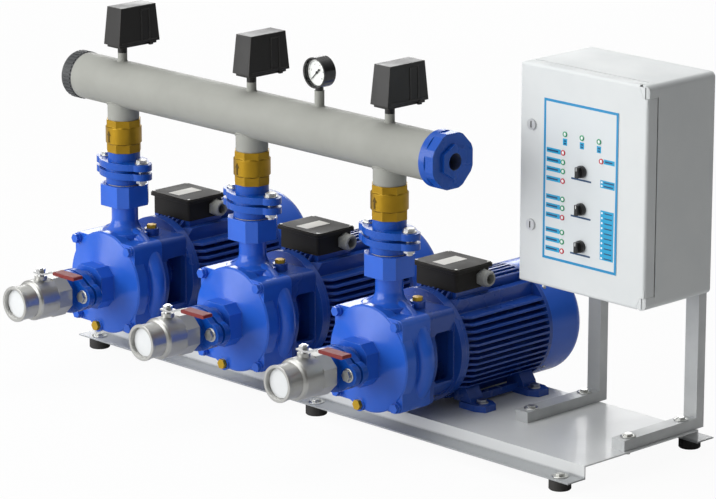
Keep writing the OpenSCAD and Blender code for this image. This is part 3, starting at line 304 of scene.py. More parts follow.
def film_layer(name: str, colour: str, shade: str, edge_mm: float = 0.1) -> Finish:
    """Give the finish of the panel film or of one colour printed on it."""
    return Finish(name, colour, 0.36, Grain.POWDER, 1.0, 0.008, shade, edge_mm=edge_mm)


def lamp_plastic(name: str, colour: str, shade: str) -> Finish:
    """Give the finish of a lamp's coloured ring."""
    return Finish(name, colour, 0.2, Grain.SMOOTH, 2.0, 0.01, shade, coat=0.5, edge_mm=0.3)


# Grains finer than about a millimetre would not show, so powder, moulding, film and ink are drawn coarser

# Gloss enamel on sand-cast iron: deep blue with soft lumps, clear reflections and paler edges painted as
# highlights
CAST_BLUE = Finish("blue_enamel_cast_iron", "#2A62CE", 0.17, Grain.CAST, 6.0, 0.1, "#2356BC", 0.6, ior=1.44,
                   edge_mm=1.2, edge_colour="#5F8DEB", spread=0.04)
# Enamel on the fine castings of the motors: the blue painted darker as the shade of the deep fins, with pale
# crests on the fins painted as highlights
SHADED_MOTOR_BLUE = Finish("blue_enamel_motor_frame_painted_shade", "#2049A0", 0.24, Grain.CAST, 4.0, 0.06, "#1B3F8E", 0.6,
                    edge_mm=0.9, edge_colour="#6A80B4", spread=0.05)
# Enamel on rolled sheet: even blue with a faint orange peel and paler edges painted as highlights
SHEET_BLUE = Finish("blue_enamel_sheet_steel", "#2A62CE", 0.22, Grain.PEEL, 1.6, 0.02, "#255AC2", ior=1.44,
                    edge_mm=0.8, edge_colour="#5F8DEB", spread=0.04)
# Enamel on cast flanges: colder satin blue with pale edges painted as highlights
FLANGE_BLUE = Finish("flange_blue_enamel", "#0F4FB2", 0.28, Grain.CAST, 3.5, 0.08, "#0D459A", ior=1.4,
                     edge_mm=0.9, edge_colour="#3F7FDE", spread=0.06)
# Cast brass: warm dull yellow, with brighter edges painted as highlights
BRASS = Finish("cast_brass", "#A9841A", 0.36, Grain.CAST, 2.2, 0.06, "#8E6C12", 0.6, metal=0.75, edge_mm=0.7,
               edge_colour="#D9B64C")
# Brass of the raised arrows, painted dark brown as their shadow, so that they stand out from the wall
SHADED_ARROW_BRASS = Finish("arrow_brass_painted_shade", "#5F4A12", 0.5, Grain.CAST, 2.0, 0.05, "#54400E", 0.6, metal=0.6,
                     edge_mm=0.3)
# Fresh machined brass of the plugs: clear yellow with fine lathe marks and paler edges painted as highlights
PLUG_BRASS = Finish("bright_brass_plug", "#C39C1E", 0.34, Grain.TURNED, 1.0, 0.02, "#B58F18", metal=0.5,
                    edge_colour="#E8CC66")
# Nickel-plated brass: pale satin grey with lathe rings along the bore
NICKEL = Finish("nickel_plated_brass", "#BDBDBA", 0.36, Grain.TURNED, 1.2, 0.012, "#ADADA9", metal=0.92,
                edge_mm=0.8, spread=0.05)
# Zinc-plated steel: bright, slightly cloudy silver
ZINC = Finish("zinc_plated_steel", "#D2D3D1", 0.32, Grain.CAST, 1.2, 0.02, "#B3B2A8", metal=1.0, edge_mm=0.5)
# Polished chrome plate: a mirror with hardly any cloud
CHROME = Finish("polished_chrome", "#DADBDC", 0.12, Grain.SMOOTH, 8.0, 0.004, "#CFD0D2", 0.3, metal=1.0,
                edge_mm=0.5)
# Satin die-cast zinc: soft pale grey with faint turned marks and paler edges painted as highlights
LOCK_ZINC = Finish("satin_die_cast_lock", "#CFD1D2", 0.36, Grain.TURNED, 0.9, 0.01, "#BEC0C2", metal=0.35,
                   edge_colour="#F0F1F2")
# Galvanised tube: light grey with drawn lines and dull clouds
GALVANISED = Finish("galvanised_tube", "#C3C5C5", 0.42, Grain.BRUSHED, 1.5, 0.02, "#AEB1B2", 0.6, metal=0.35,
                    edge_mm=0.8)
# Stacked laminations: dark iron with a fine line at every sheet
IRON_CORE = Finish("laminated_core", "#57504A", 0.5, Grain.TURNED, 1.0, 0.05, "#4A443F", metal=0.5)
# Ground shaft steel: bright grey with fine rings
ROTOR_STEEL = Finish("ground_shaft_steel", "#A7A9AB", 0.3, Grain.TURNED, 1.0, 0.01, "#96989A", metal=1.0)
# Satin paint on folded sheet: pale grey with paler edges painted as highlights, and painted shade darkening
# the flanges near the floor
BASE_PAINT = Finish("base_satin_grey_paint", "#D9DBDB", 0.36, Grain.BRUSHED, 2.4, 0.012, "#D0D2D3", coat=0.12,
                    edge_colour="#E8EAEB", spread=0.03, dust=Dust(22 * MM, 27 * MM, "#8C9092"))
# Matt paint on drawn pipe: warm grey with faint lines along the pipe
PIPE_PAINT = Finish("pipe_warm_grey_paint", "#9A9B95", 0.5, Grain.BRUSHED, 2.2, 0.015, "#91928C", 0.6,
                    ior=1.25, edge_mm=0.8)
# Powder coat of the cabinet: near white, with a fine grain, little gloss and paler edges painted as
# highlights
CABINET_COAT = Finish("cabinet_powder_coat", "#D9DCDC", 0.5, Grain.POWDER, 1.6, 0.03, "#D2D6D7", edge_mm=1.0,
                      ior=1.24, edge_colour="#ECEEEE")
# Stoved enamel of the gauge case: deep glossy black with grey edges painted as highlights
GAUGE_BLACK = Finish("gauge_black_enamel", "#161616", 0.28, Grain.PEEL, 1.2, 0.01, "#1E1E1E", coat=0.2,
                     edge_colour="#4A4A4A")
# Enamel of the dial: clean even white
DIAL_WHITE = Finish("dial_white_enamel", "#F3F3EF", 0.45, Grain.PEEL, 1.0, 0.004, "#EBEBE6", edge_mm=0.2)
# Moulded rubber: matt charcoal
RUBBER = Finish("black_rubber", "#2A2927", 0.7, Grain.MOULDED, 1.5, 0.03, "#353432", 0.6)
# ABS of the terminal boxes: matt brown-black with paler corners painted as highlights
BLACK_ABS = Finish("black_abs_moulding", "#211F1C", 0.55, Grain.MOULDED, 0.9, 0.02, "#2A2825", 0.6,
                   ior=1.28, edge_mm=1.0, edge_colour="#55514B")
# ABS of the pressure switches: black with a soft sheen painted as highlights on rounded corners
SWITCH_ABS = Finish("switch_black_abs", "#171615", 0.36, Grain.MOULDED, 1.1, 0.02, "#1D1C1B", 0.6,
                    ior=1.4, edge_mm=2.4, edge_colour="#5A5754")
# Nylon of the glands: waxy mid grey with paler edges painted as highlights
GLAND_NYLON = Finish("grey_nylon", "#92938F", 0.45, Grain.MOULDED, 0.9, 0.015, "#868783", edge_mm=0.7,
                     edge_colour="#B9BAB6")
# PVC of the stop cap: dull dark grey with paler edges painted as highlights
STOP_DARK = Finish("dark_grey_pvc", "#3B3D3F", 0.5, Grain.MOULDED, 1.0, 0.02, "#333537",
                   edge_colour="#5E6062")
# Polyethylene of the mouth plugs: milky pale grey
PLUG_GREY = Finish("pale_polyethylene", "#D9DBDC", 0.5, Grain.MOULDED, 1.4, 0.02, "#CDD0D1", edge_mm=0.7)
# Thermoset of the knobs: glossy black with grey edges painted as highlights
KNOB_BLACK = Finish("knob_black_thermoset", "#191919", 0.3, Grain.MOULDED, 1.0, 0.01, "#222222",
                    edge_colour="#555555")
# Polyamide of the switchgear: dark grey, finely grained, with paler edges painted as highlights
GEAR_GREY = Finish("switchgear_grey", "#4B4E50", 0.5, Grain.MOULDED, 1.0, 0.02, "#414446",
                   edge_colour="#6A6D6F")
# PTFE of the ball seats: waxy white
SEAT_PTFE = Finish("ptfe_seat", "#EDEDE8", 0.5, Grain.SMOOTH, 3.0, 0.01, "#E2E2DC")
# Foam of the door seal: matt grey with open pores
SEAL_FOAM = Finish("door_seal_foam", "#8F9191", 0.85, Grain.CAST, 0.8, 0.06, "#858787", 0.6)
# Lapped carbon of the shaft seals: smooth dark grey
CARBON = Finish("lapped_carbon", "#303133", 0.3, Grain.SMOOTH, 2.0, 0.01, "#3A3B3D")
# Polyester film of the panel and the inks on it: pale and finely matt, with flat even colours
PANEL_FILM = film_layer("panel_polyester_film", "#D6DBDD", "#D0D6D8", 0.2)
PRINT_BLUE = film_layer("print_border_blue", "#0C8CC2", "#0B83B6")
PRINT_CYAN = film_layer("print_cyan", "#109FCE", "#0F97C4")
PRINT_NAVY = film_layer("print_dark_blue", "#14446E", "#113B60")
PRINT_WHITE = film_layer("print_white", "#F2F6F7", "#E9EEF0")
# Printing ink of the scale: matt black
DIAL_INK = Finish("dial_black_ink", "#1C1C1C", 0.5, Grain.POWDER, 0.6, 0.004, "#262626", edge_mm=0.1)
# Foil of the labels: pale silver grey with brushed lines
LABEL = Finish("blank_foil_label", "#CFCDC7", 0.5, Grain.BRUSHED, 0.8, 0.006, "#C3C1BB", ior=1.3, edge_mm=0.2)
# Polycarbonate of the lamp rings: glossy clear colour
LENS_GREEN = lamp_plastic("lamp_green_polycarbonate", "#1E9C6A", "#178A5C")
LENS_RED = lamp_plastic("lamp_red_polycarbonate", "#D0243C", "#B81C32")
# Polycarbonate of the lamp diffusers: glossy off-white
LENS_PALE = Finish("lamp_pale_diffuser", "#EEF4F2", 0.3, Grain.SMOOTH, 2.0, 0.01, "#E2EAE8", coat=0.3)


class Shop:
    """Builds each finish once and hands out its material."""

    def __init__(self) -> None:
        """Start with no material made."""
        self.made: dict[str, bpy.types.Material] = {}

    def get(self, finish: Finish | ClearLens) -> bpy.types.Material:
        """Give the material of a finish, and build it the first time.

        Args:
            finish: the finish.

        Returns:
            Its material.
        """
        if finish.name not in self.made:
            self.made[finish.name] = finish.build()
        return self.made[finish.name]

    def dress(self, finish: Finish | ClearLens, *nodes: str) -> None:
        """Put a finish on CAD nodes.

        Args:
            finish: the finish.
            nodes: names of the nodes that get it.
        """
        for name in nodes:
            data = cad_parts[name].data
            data.materials.clear()
            data.materials.append(self.get(finish))
            log.info("node %s: %s", name, finish.name)


SHOP = Shop()


def set_piece(name: str, mesh: bpy.types.Mesh, finish: Finish, body: str) -> bpy.types.Object:
    """Place a finished mesh in the scene as a piece that rides on a body.

    Args:
        name: the piece's name.
        mesh: its mesh, already in place.
        finish: its finish.
        body: body that carries it.

    Returns:
        The new object.
    """
    made = bpy.data.objects.new(name, mesh)
    bpy.context.scene.collection.objects.link(made)
    mesh.materials.clear()
    mesh.materials.append(SHOP.get(finish))
    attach(made, body)
    log.info("piece %s: %d faces on %s", name, len(mesh.polygons), body)
    return made


def build_piece(name: str, build: Callable[[Work], None], finish: Finish, body: str) -> bpy.types.Object:
    """Make a piece with a building function, with doubles merged and faces outwards.

    Args:
        name: the piece's name.
        build: function that fills the bmesh, in place.
        finish: its finish.
        body: body that carries it.

    Returns:
        The new object.
    """
    work = bmesh.new()
    build(work)
    bmesh.ops.remove_doubles(work, verts=work.verts, dist=1e-7)
    bmesh.ops.recalc_face_normals(work, faces=work.faces)
    mesh = bpy.data.meshes.new(name)
    work.to_mesh(mesh)
    work.free()
    return set_piece(name, mesh, finish, body)


def block(work: Work, low: Vector, high: Vector) -> None:
    """Add a box between two corners."""
    size, middle = high - low, (high + low) / 2
    bmesh.ops.create_cube(work, size=1.0, matrix=Matrix.Translation(middle) @ Matrix.Diagonal((*size, 1.0)))


def lathe(work: Work, profile: Sequence[Pair], place: Matrix, steps: int) -> None:
    """Add a turned form.

    Args:
        work: mesh in progress.
        profile: radius and height pairs in millimetres, from bottom to top.
        place: where the form's own Z axis stands.
        steps: sides of the turn.
    """
    rings = []
    for r, h in profile:
        angles = [math.tau * k / steps for k in range(steps)] if r > 0 else [0.0]
        rings.append([work.verts.new(place @ Vector((r * MM * math.cos(a), r * MM * math.sin(a), h * MM)))
                      for a in angles])
    for a, b in zip(rings, rings[1:]):
        for k in range(steps):
            quad = [a[k % len(a)], a[(k + 1) % len(a)], b[(k + 1) % len(b)], b[k % len(b)]]
            face = list(dict.fromkeys(quad))
            if len(face) > 2:
                work.faces.new(face)


def prism(work: Work, first: Sequence[Vector], last: Sequence[Vector]) -> None:
    """Add a solid between two outlines.

    Args:
        work: mesh in progress.
        first: corners of one end.
        last: corners of the other end, as many.
    """
    a, b = ([work.verts.new(p) for p in ring] for ring in (first, last))
    work.faces.new(a)
    work.faces.new(b)
    for k in range(len(a)):
        n = (k + 1) % len(a)
        work.faces.new([a[k], a[n], b[n], b[k]])


def facing(point: Vector, normal: Vector) -> Matrix:
    """Give a place at a point, with its own Z along a normal."""
    return Matrix.Translation(point) @ normal.to_track_quat("Z", "Y").to_matrix().to_4x4()


class RepeatKit:
    """A geometry node tree with named inputs, which ends in Realize Instances and Set Material."""

    def __init__(self, name: str, inputs: dict[str, Any], finish: Finish) -> None:
        """Start a tree.

        Args:
            name: the tree's name.
            inputs: default of each named size: a float or an int.
            finish: finish of what the tree makes.
        """
        self.tree = bpy.data.node_groups.new(f"{name}_{finish.name}", "GeometryNodeTree")
        face = self.tree.interface
        face.new_socket("Points", in_out="INPUT", socket_type="NodeSocketGeometry")
        for key, value in inputs.items():
            kind = "NodeSocketInt" if isinstance(value, int) else "NodeSocketFloat"
            face.new_socket(key, in_out="INPUT", socket_type=kind).default_value = value
        face.new_socket("Geometry", in_out="OUTPUT", socket_type="NodeSocketGeometry")
        self.inp = add(self.tree, "NodeGroupInput").node.outputs
        self.finish = finish

    def on_points(self, shape: Socket) -> Socket:
        """Put a shape on every point of the input, turned to the point's own direction.

        Args:
            shape: geometry of one copy.

        Returns:
            The copies.
        """
        way = add(self.tree, "GeometryNodeInputNamedAttribute", {"Name": "facing"}, data_type="FLOAT_VECTOR")
        turn = add(self.tree, "FunctionNodeAlignEulerToVector", {"Vector": way}, axis="Z")
        return add(self.tree, "GeometryNodeInstanceOnPoints", {"Points": self.inp["Points"],
                   "Instance": shape, "Rotation": turn})

    def close(self, shape: Socket) -> None:
        """End the tree with the realised shape and its material.

        Args:
            shape: geometry of all copies.
        """
        real = add(self.tree, "GeometryNodeRealizeInstances", {0: shape})
        dressed = add(self.tree, "GeometryNodeSetMaterial", {"Geometry": real,
                      "Material": SHOP.get(self.finish)})
        add(self.tree, "NodeGroupOutput", {0: dressed})

    def run(self, name: str, points: Iterable[Vector], normals: Iterable[Vector] | None = None,
            **sizes: Any) -> bpy.types.Mesh:
        """Run the tree on points and give a plain mesh.

        Args:
            name: name of the mesh.
            points: places of the copies.
            normals: direction of each copy, kept as an attribute.
            sizes: value of each named input, with _ for a space.

        Returns:
            The evaluated mesh.
        """
        seed = bpy.data.meshes.new(name)
        seed.from_pydata([tuple(p) for p in points], [], [])
        if normals is not None:
            mark = seed.attributes.new("facing", "FLOAT_VECTOR", "POINT")
            for item, n in zip(mark.data, normals):
                item.vector = n
        holder = bpy.data.objects.new(name + "_seed", seed)
        bpy.context.scene.collection.objects.link(holder)
        mod = holder.modifiers.new("make", "NODES")
        mod.node_group = self.tree
        known = {i.name: i.identifier for i in self.tree.interface.items_tree if i.in_out == "INPUT"}
        for key, value in sizes.items():
            mod[known[key.replace("_", " ")]] = value
        ready = holder.evaluated_get(bpy.context.evaluated_depsgraph_get())
        made = bpy.data.meshes.new_from_object(ready)
        made.name = name
        holder.modifiers.remove(mod)
        bpy.data.objects.remove(holder)
        return made


def washer_kit(finish: Finish) -> RepeatKit:
    """Washers: a flat band swept round a circle, set on every point.

    Args:
        finish: finish of the washers.

    Returns:
        Kit with inputs Middle radius, Width and Thickness.
    """
    kit = RepeatKit("washers", {"Middle radius": 0.008, "Width": 0.006, "Thickness": 0.0015}, finish)
    band = add(kit.tree, "GeometryNodeCurvePrimitiveQuadrilateral", {"Width": kit.inp["Width"],
               "Height": kit.inp["Thickness"]})
    path = add(kit.tree, "GeometryNodeCurvePrimitiveCircle", {"Resolution": 40,
               "Radius": kit.inp["Middle radius"]})
    ring = add(kit.tree, "GeometryNodeCurveToMesh", {"Curve": path, "Profile Curve": band})
    kit.close(kit.on_points(ring))
    return kit


def thread_kit(finish: Finish) -> RepeatKit:
    """Thread crests: round-backed rings one pitch apart along each point's direction.

    Args:
        finish: finish of the thread.

    Returns:
        Kit with inputs Radius, Pitch, Crest and Turns.
    """
    kit = RepeatKit("thread", {"Radius": 0.03, "Pitch": THREAD_PITCH * MM, "Crest": 0.0007, "Turns": 8},
                    finish)
    path = add(kit.tree, "GeometryNodeCurvePrimitiveCircle", {"Resolution": 64, "Radius": kit.inp["Radius"]})
    crest = add(kit.tree, "GeometryNodeCurvePrimitiveCircle", {"Resolution": 6, "Radius": kit.inp["Crest"]})
    ring = add(kit.tree, "GeometryNodeCurveToMesh", {"Curve": path, "Profile Curve": crest})
    step = add(kit.tree, "ShaderNodeCombineXYZ", {"Z": kit.inp["Pitch"]})
    row = add(kit.tree, "GeometryNodeMeshLine", {"Count": kit.inp["Turns"], "Offset": step})
    kit.close(kit.on_points(add(kit.tree, "GeometryNodeInstanceOnPoints", {"Points": row, "Instance": ring})))
    return kit


def screw_kit(finish: Finish) -> RepeatKit:
    """Small pan-head screws: a drum with a low dome on every point.

    Args:
        finish: finish of the screws.

    Returns:
        Kit with inputs Head radius and Head height.
    """
    kit = RepeatKit("screws", {"Head radius": 0.003, "Head height": 0.0016}, finish)
    drum = add(kit.tree, "GeometryNodeMeshCylinder", {"Vertices": 20, "Radius": kit.inp["Head radius"],
               "Depth": kit.inp["Head height"]}, "Mesh")
    ball = add(kit.tree, "GeometryNodeMeshUVSphere", {"Segments": 20, "Rings": 8,
               "Radius": kit.inp["Head radius"]}, "Mesh")
    dome = add(kit.tree, "GeometryNodeTransform", {"Geometry": ball, "Scale": (0.92, 0.92, 0.45)})
    head = add(kit.tree, "GeometryNodeJoinGeometry", {0: drum})
    kit.tree.links.new(dome, head.node.inputs[0])
    kit.close(kit.on_points(head))
    return kit


def bead_kit(finish: Finish) -> RepeatKit:
    """Weld beads: a round bead swept along the closed path that the points trace in order.

    Args:
        finish: finish of the bead.

    Returns:
        Kit with the input Bead radius.
    """
    kit = RepeatKit("weld", {"Bead radius": 0.0025}, finish)
    spots = add(kit.tree, "GeometryNodeMeshToPoints", {0: kit.inp["Points"]})
    line = add(kit.tree, "GeometryNodePointsToCurves", {0: spots})
    loop = add(kit.tree, "GeometryNodeSetSplineCyclic", {"Geometry": line, "Cyclic": True})
    bead = add(kit.tree, "GeometryNodeCurvePrimitiveCircle", {"Resolution": 8,
               "Radius": kit.inp["Bead radius"]})
    kit.close(add(kit.tree, "GeometryNodeCurveToMesh", {"Curve": loop, "Profile Curve": bead}))
    return kit


def tick_kit(finish: Finish) -> RepeatKit:
    """Scale marks: flat bars on an arc about each point, turned to the centre.

    Args:
        finish: finish of the marks.

    Returns:
        Kit with inputs Count, Radius, Start, Sweep, Length, Width and Thickness.
    """
    kit = RepeatKit("ticks", {"Count": 21, "Radius": 0.018, "Start": 0.0, "Sweep": 4.712, "Length": 0.003,
                              "Width": 0.0006, "Thickness": 0.0002}, finish)
    arc = add(kit.tree, "GeometryNodeCurveArc", {"Resolution": kit.inp["Count"], "Radius": kit.inp["Radius"],
              "Start Angle": kit.inp["Start"], "Sweep Angle": kit.inp["Sweep"]})
    size = add(kit.tree, "ShaderNodeCombineXYZ", {"X": kit.inp["Width"], "Y": kit.inp["Length"],
               "Z": kit.inp["Thickness"]})
    bar = add(kit.tree, "GeometryNodeMeshCube", {"Size": size}, "Mesh")
    way = add(kit.tree, "GeometryNodeInputTangent")
    turn = add(kit.tree, "FunctionNodeAlignEulerToVector", {"Vector": way}, axis="X")
    spots = add(kit.tree, "GeometryNodeCurveToPoints", {"Curve": arc}, mode="EVALUATED")
    marks = add(kit.tree, "GeometryNodeInstanceOnPoints", {"Points": spots, "Instance": bar,
                "Rotation": turn})
    kit.close(kit.on_points(marks))
    return kit


def set_washers(name: str, spots: Sequence[Vector], ways: Sequence[Vector], middle_r: float, width: float,
                thick: float) -> None:
    """Set zinc-plated washers under bolt heads.

    Args:
        name: the piece's name.
        spots: middle of each washer.
        ways: direction of each bolt.
        middle_r: radius of the band's middle, in millimetres.
        width: width of the band, in millimetres.
        thick: thickness, in millimetres.
    """
    mesh = washer_kit(ZINC).run(name, spots, ways, Middle_radius=middle_r * MM, Width=width * MM,
                                Thickness=thick * MM)
    set_piece(name, mesh, ZINC, "frame")


def set_screws(name: str, spots: Sequence[Vector], ways: Sequence[Vector], head_r: float,
               head_h: float) -> None:
    """Set zinc-plated screws; radius and height of their heads are in millimetres."""
    mesh = screw_kit(ZINC).run(name, spots, ways, Head_radius=head_r * MM, Head_height=head_h * MM)
    set_piece(name, mesh, ZINC, "frame")


def set_thread(name: str, spots: Sequence[Vector], way: Vector, finish: Finish, radius: float,
               crest: float, turns: int) -> None:
    """Set a pipe thread's crests.

    Args:
        name: the piece's name.
        spots: where each thread starts.
        way: direction in which it runs.
        finish: its finish.
        radius: radius of the crests' middle, in millimetres.
        crest: radius of a crest's section, in millimetres.
        turns: number of turns.
    """
    mesh = thread_kit(finish).run(name, spots, [way] * len(spots), Radius=radius * MM,
                                  Pitch=THREAD_PITCH * MM, Crest=crest * MM, Turns=turns)
    set_piece(name, mesh, finish, "frame")


@dataclass
class BasePlate:
    """Folded base plate with its feet and the cabinet's stands; sizes in millimetres."""

    foot_r: float = 20.0
    sheet: float = 2.5
    tube_w: float = 30.0
    tube_h: float = 20.0
    bar_bolts: Pair = (26.0, 167.0)
    washer: float = 1.5

    def build(self) -> None:
        """Put finishes on the frame and add the washers of feet and stands."""
        SHOP.dress(BASE_PAINT, "base_plate")
        SHOP.dress(RUBBER, "rubber_feet")
        SHOP.dress(ZINC, "frame_bolts")
        SHOP.dress(GALVANISED, "cabinet_stands")
        self.foot_washers()
        self.stand_washers()

    def foot_washers(self) -> None:
        """Add a washer on the plate's flange over each rubber foot."""
        low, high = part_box("rubber_feet")
        rim = self.foot_r * MM
        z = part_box("base_plate")[0].z + (self.sheet + self.washer / 2) * MM
        spots = [Vector((x, y, z)) for x in (low.x + rim, (low.x + high.x) / 2, high.x - rim)
                 for y in (low.y + rim, high.y - rim)]
        set_washers("foot_washers", spots, [UP] * len(spots), middle_r=11.0, width=7.6, thick=self.washer)

    def stand_washers(self) -> None:
        """Add the washers under the bolts that hold the stands' foot tubes."""
        low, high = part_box("cabinet_stands")
        half = self.tube_w / 2 * MM
        z = low.z + (self.tube_h + self.washer / 2) * MM
        spots = [Vector((x, low.y + y * MM, z)) for x in (low.x + half, high.x - half)
                 for y in self.bar_bolts]
        set_washers("stand_washers", spots, [UP] * len(spots), middle_r=10.4, width=6.4, thick=self.washer)


@dataclass
class PumpUnits:
    """Castings, motors and terminal boxes of the three pumps; sizes in millimetres."""

    label_x: Pair = (-19.0, 11.0)
    label_y: Pair = (129.0, 189.0)
    label_z: Pair = (-0.05, 0.3)
    lid_screw: Pair = (50.0, 42.0)
    lid_screw_lift: float = 0.2
    foot_pad: float = 12.0
    foot_half: float = 95.0
    bolt_head_r: float = 9.24
    washer: float = 1.2
    cowl_screw: float = 8.0
    axes: list[Vector] = field(default_factory=list)

    def __post_init__(self) -> None:
        """Read each pump's axis from its rotor's box."""
        for k in (1, 2, 3):
            low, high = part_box(f"rotor_{k}")
            self.axes.append(Vector(((low.x + high.x) / 2, 0.0, (low.z + high.z) / 2)))

    def build(self) -> None:
        """Put finishes on the pump units' nodes and add labels, screws and washers."""
        SHOP.dress(CAST_BLUE, "pump_casings", "casing_bolts")
        # Motor frames and brackets get the blue enamel painted darker as fin shade
        SHOP.dress(SHADED_MOTOR_BLUE, "motor_frames", "motor_brackets")
        SHOP.dress(SHEET_BLUE, "fan_cowls")
        SHOP.dress(IRON_CORE, "stators")
        SHOP.dress(BLACK_ABS, "terminal_boxes", "terminal_lids")
        SHOP.dress(GLAND_NYLON, "cable_glands")
        SHOP.dress(PLUG_BRASS, "pipe_plugs")
        SHOP.dress(ZINC, "motor_bolts", "bearings")
        SHOP.dress(CARBON, "shaft_seals")
        SHOP.dress(ROTOR_STEEL, "rotor_1", "rotor_2", "rotor_3")
        self.labels()
        self.lid_screws()
        self.foot_washers()
        self.cowl_screws()

    def labels(self) -> None:
        """Add the blank foil labels on the terminal lids."""
        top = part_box("terminal_lids")[1].z

        def build(work: Work) -> None:
            """Lay one thin plate on each lid.

            Args:
                work: mesh in progress.
            """
            for axis in self.axes:
                block(work, *(Vector((axis.x + x * MM, (y + NECK_Y) * MM, top + z * MM))
                              for x, y, z in zip(self.label_x, self.label_y, self.label_z)))

        build_piece("lid_labels", build, LABEL, "frame")

    def lid_screws(self) -> None:
        """Add the four screws of each terminal lid."""
        low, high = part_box("terminal_lids")
        x, y = self.lid_screw[0] * MM, self.lid_screw[1] * MM
        middle = (low.y + high.y) / 2
        spots = [Vector((a.x + sx * x, middle + sy * y, high.z + self.lid_screw_lift * MM))
                 for a in self.axes for sx in (-1, 1) for sy in (-1, 1)]
        set_screws("lid_screws", spots, [UP] * len(spots), head_r=2.6, head_h=1.2)

    def foot_washers(self) -> None:
        """Add washers under the motor foot bolts."""
        low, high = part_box("motor_bolts")
        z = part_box("base_plate")[1].z + (self.foot_pad + self.washer / 2) * MM
        rows = (low.y + self.bolt_head_r * MM, high.y - self.bolt_head_r * MM)
        spots = [Vector((a.x + s * self.foot_half * MM, y, z))
                 for a in self.axes for s in (-1, 1) for y in rows]
        set_washers("motor_washers", spots, [UP] * len(spots), middle_r=9.0, width=4.4, thick=self.washer)

    def cowl_screws(self) -> None:
        """Add the four screws that hold each fan cowl's front rim."""
        low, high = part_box("fan_cowls")
        rim = (high.z - low.z) / 2
        angles = [math.radians(45 + 90 * k) for k in range(4)]
        ways = [Vector((math.cos(a), 0.0, math.sin(a))) for a in angles]
        spots = [Vector((a.x, low.y + self.cowl_screw * MM, a.z)) + w * rim for a in self.axes for w in ways]
        set_screws("cowl_screws", spots, ways * len(self.axes), head_r=4.2, head_h=1.6)


@dataclass
class Valves:
    """Flanges, check valves and ball valves of the three pumps; sizes in millimetres."""

    axes: list[Vector]
    grip_from: float = 47.0
    bolt_half: float = 50.0
    neck_above: float = 17.5
    neck_before: float = 15.5
    washer: float = 1.4
    painted_above: float = 12.0
    nipple_before: float = 15.0
    mouth_inset: float = 2.0
    arrow_turn: float = 0.1
    arrow_rise: Pair = (-0.4, 0.7)

    def build(self) -> None:
        """Put finishes on the fittings and add threads, washers and arrows."""
        SHOP.dress(FLANGE_BLUE, "discharge_flanges", "suction_flanges")
        # Pale fibre at the bosses and suction flanges; the edge between the discharge flanges is painted over
        painted = Change(2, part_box("pump_casings")[1].z + self.painted_above * MM, "#0F4FB2", 0.3)
        gasket = Finish("fibre_gasket", "#DCCF9C", 0.8, Grain.CAST, 1.0, 0.03, "#C8BA84", 0.6, edge_mm=0.2,
                        change=painted)
        SHOP.dress(gasket, "flange_gaskets")
        SHOP.dress(ZINC, "flange_bolts")
        SHOP.dress(BRASS, "check_valve_bodies")
        SHOP.dress(NICKEL, "ball_valve_bodies")
        SHOP.dress(SEAT_PTFE, "valve_seats")
        SHOP.dress(PLUG_GREY, "port_plugs")
        SHOP.dress(CHROME, "valve_ball_1", "valve_ball_2", "valve_ball_3")
        SHOP.dress(KNOB_BLACK, "check_disc_1", "check_disc_2", "check_disc_3")
        for k, axis in enumerate(self.axes, 1):
            # Plated steel with drawn lines, and a dipped grip of dull dark red
            grip = Change(0, axis.x + self.grip_from * MM, "#74150F", 0.5)
            lever = Finish(f"steel_lever_red_grip_{k}", "#C9CACA", 0.3, Grain.BRUSHED, 1.2, 0.01, "#B9BABA",
                           metal=1.0, change=grip)
            SHOP.dress(lever, f"valve_lever_{k}")
        self.threads()
        self.washers()
        self.flow_arrows()

    def threads(self) -> None:
        """Add the pipe threads behind the suction flanges and in the valves' mouths."""
        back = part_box("pump_casings")[0].y - self.nipple_before * MM
        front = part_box("ball_valve_bodies")[0].y + self.mouth_inset * MM
        nipples = [Vector((a.x, back, a.z)) for a in self.axes]
        mouths = [Vector((a.x, front, a.z)) for a in self.axes]
        set_thread("nipple_threads", nipples, BACK, FLANGE_BLUE, radius=31.0, crest=0.9,
                   turns=6)
        set_thread("mouth_threads", mouths, BACK, NICKEL, radius=28.6, crest=0.8, turns=3)

    def washers(self) -> None:
        """Add a washer under the head of each flange bolt."""
        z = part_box("discharge_flanges")[1].z - (self.neck_above - self.washer / 2) * MM
        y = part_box("suction_flanges")[0].y + (self.neck_before - self.washer / 2) * MM
        sides = [(a.x + s * self.bolt_half * MM, a.z) for a in self.axes for s in (-1, 1)]
        tops = [Vector((x, NECK_Y * MM, z)) for x, _ in sides]
        fronts = [Vector((x, y, height)) for x, height in sides]
        ways = [UP] * len(tops) + [FRONT] * len(fronts)
        set_washers("flange_washers", tops + fronts, ways, middle_r=10.4, width=5.2, thick=self.washer)

    def flow_arrows(self) -> None:
        """Add the cast arrow that shows the flow upwards on each check valve."""
        low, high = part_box("check_valve_bodies")
        wall = (high.y - low.y) / 2 / MM
        middle = (low.z + high.z) / 2 / MM
        shaft = [(-2.0, -11.0), (2.0, -11.0), (2.0, 2.0), (-2.0, 2.0)]
        head = [(-5.5, 2.0), (5.5, 2.0), (0.0, 11.0)]

        def wrapped(axis: Vector, form: Sequence[Pair], depth: float) -> list[Vector]:
            """Lay an outline round the wall.

            Args:
                axis: the pump's axis.
                form: the outline, across and up.
                depth: height of the outline over the wall.

            Returns:
                The outline's corners in place.
            """
            r = wall + depth
            turned = [(u / wall - self.arrow_turn, middle + v) for u, v in form]
            return [Vector((axis.x + r * math.sin(a) * MM, (NECK_Y - r * math.cos(a)) * MM, z * MM))
                    for a, z in turned]

        def build(work: Work) -> None:
            """Raise the arrow's two flat forms off the round wall.

            Args:
                work: mesh in progress.
            """
            for axis in self.axes:
                for form in (shaft, head):
                    prism(work, *(wrapped(axis, form, depth) for depth in self.arrow_rise))

        # The arrows' brass is painted darker as their shadow
        build_piece("flow_arrows", build, SHADED_ARROW_BRASS, "frame")


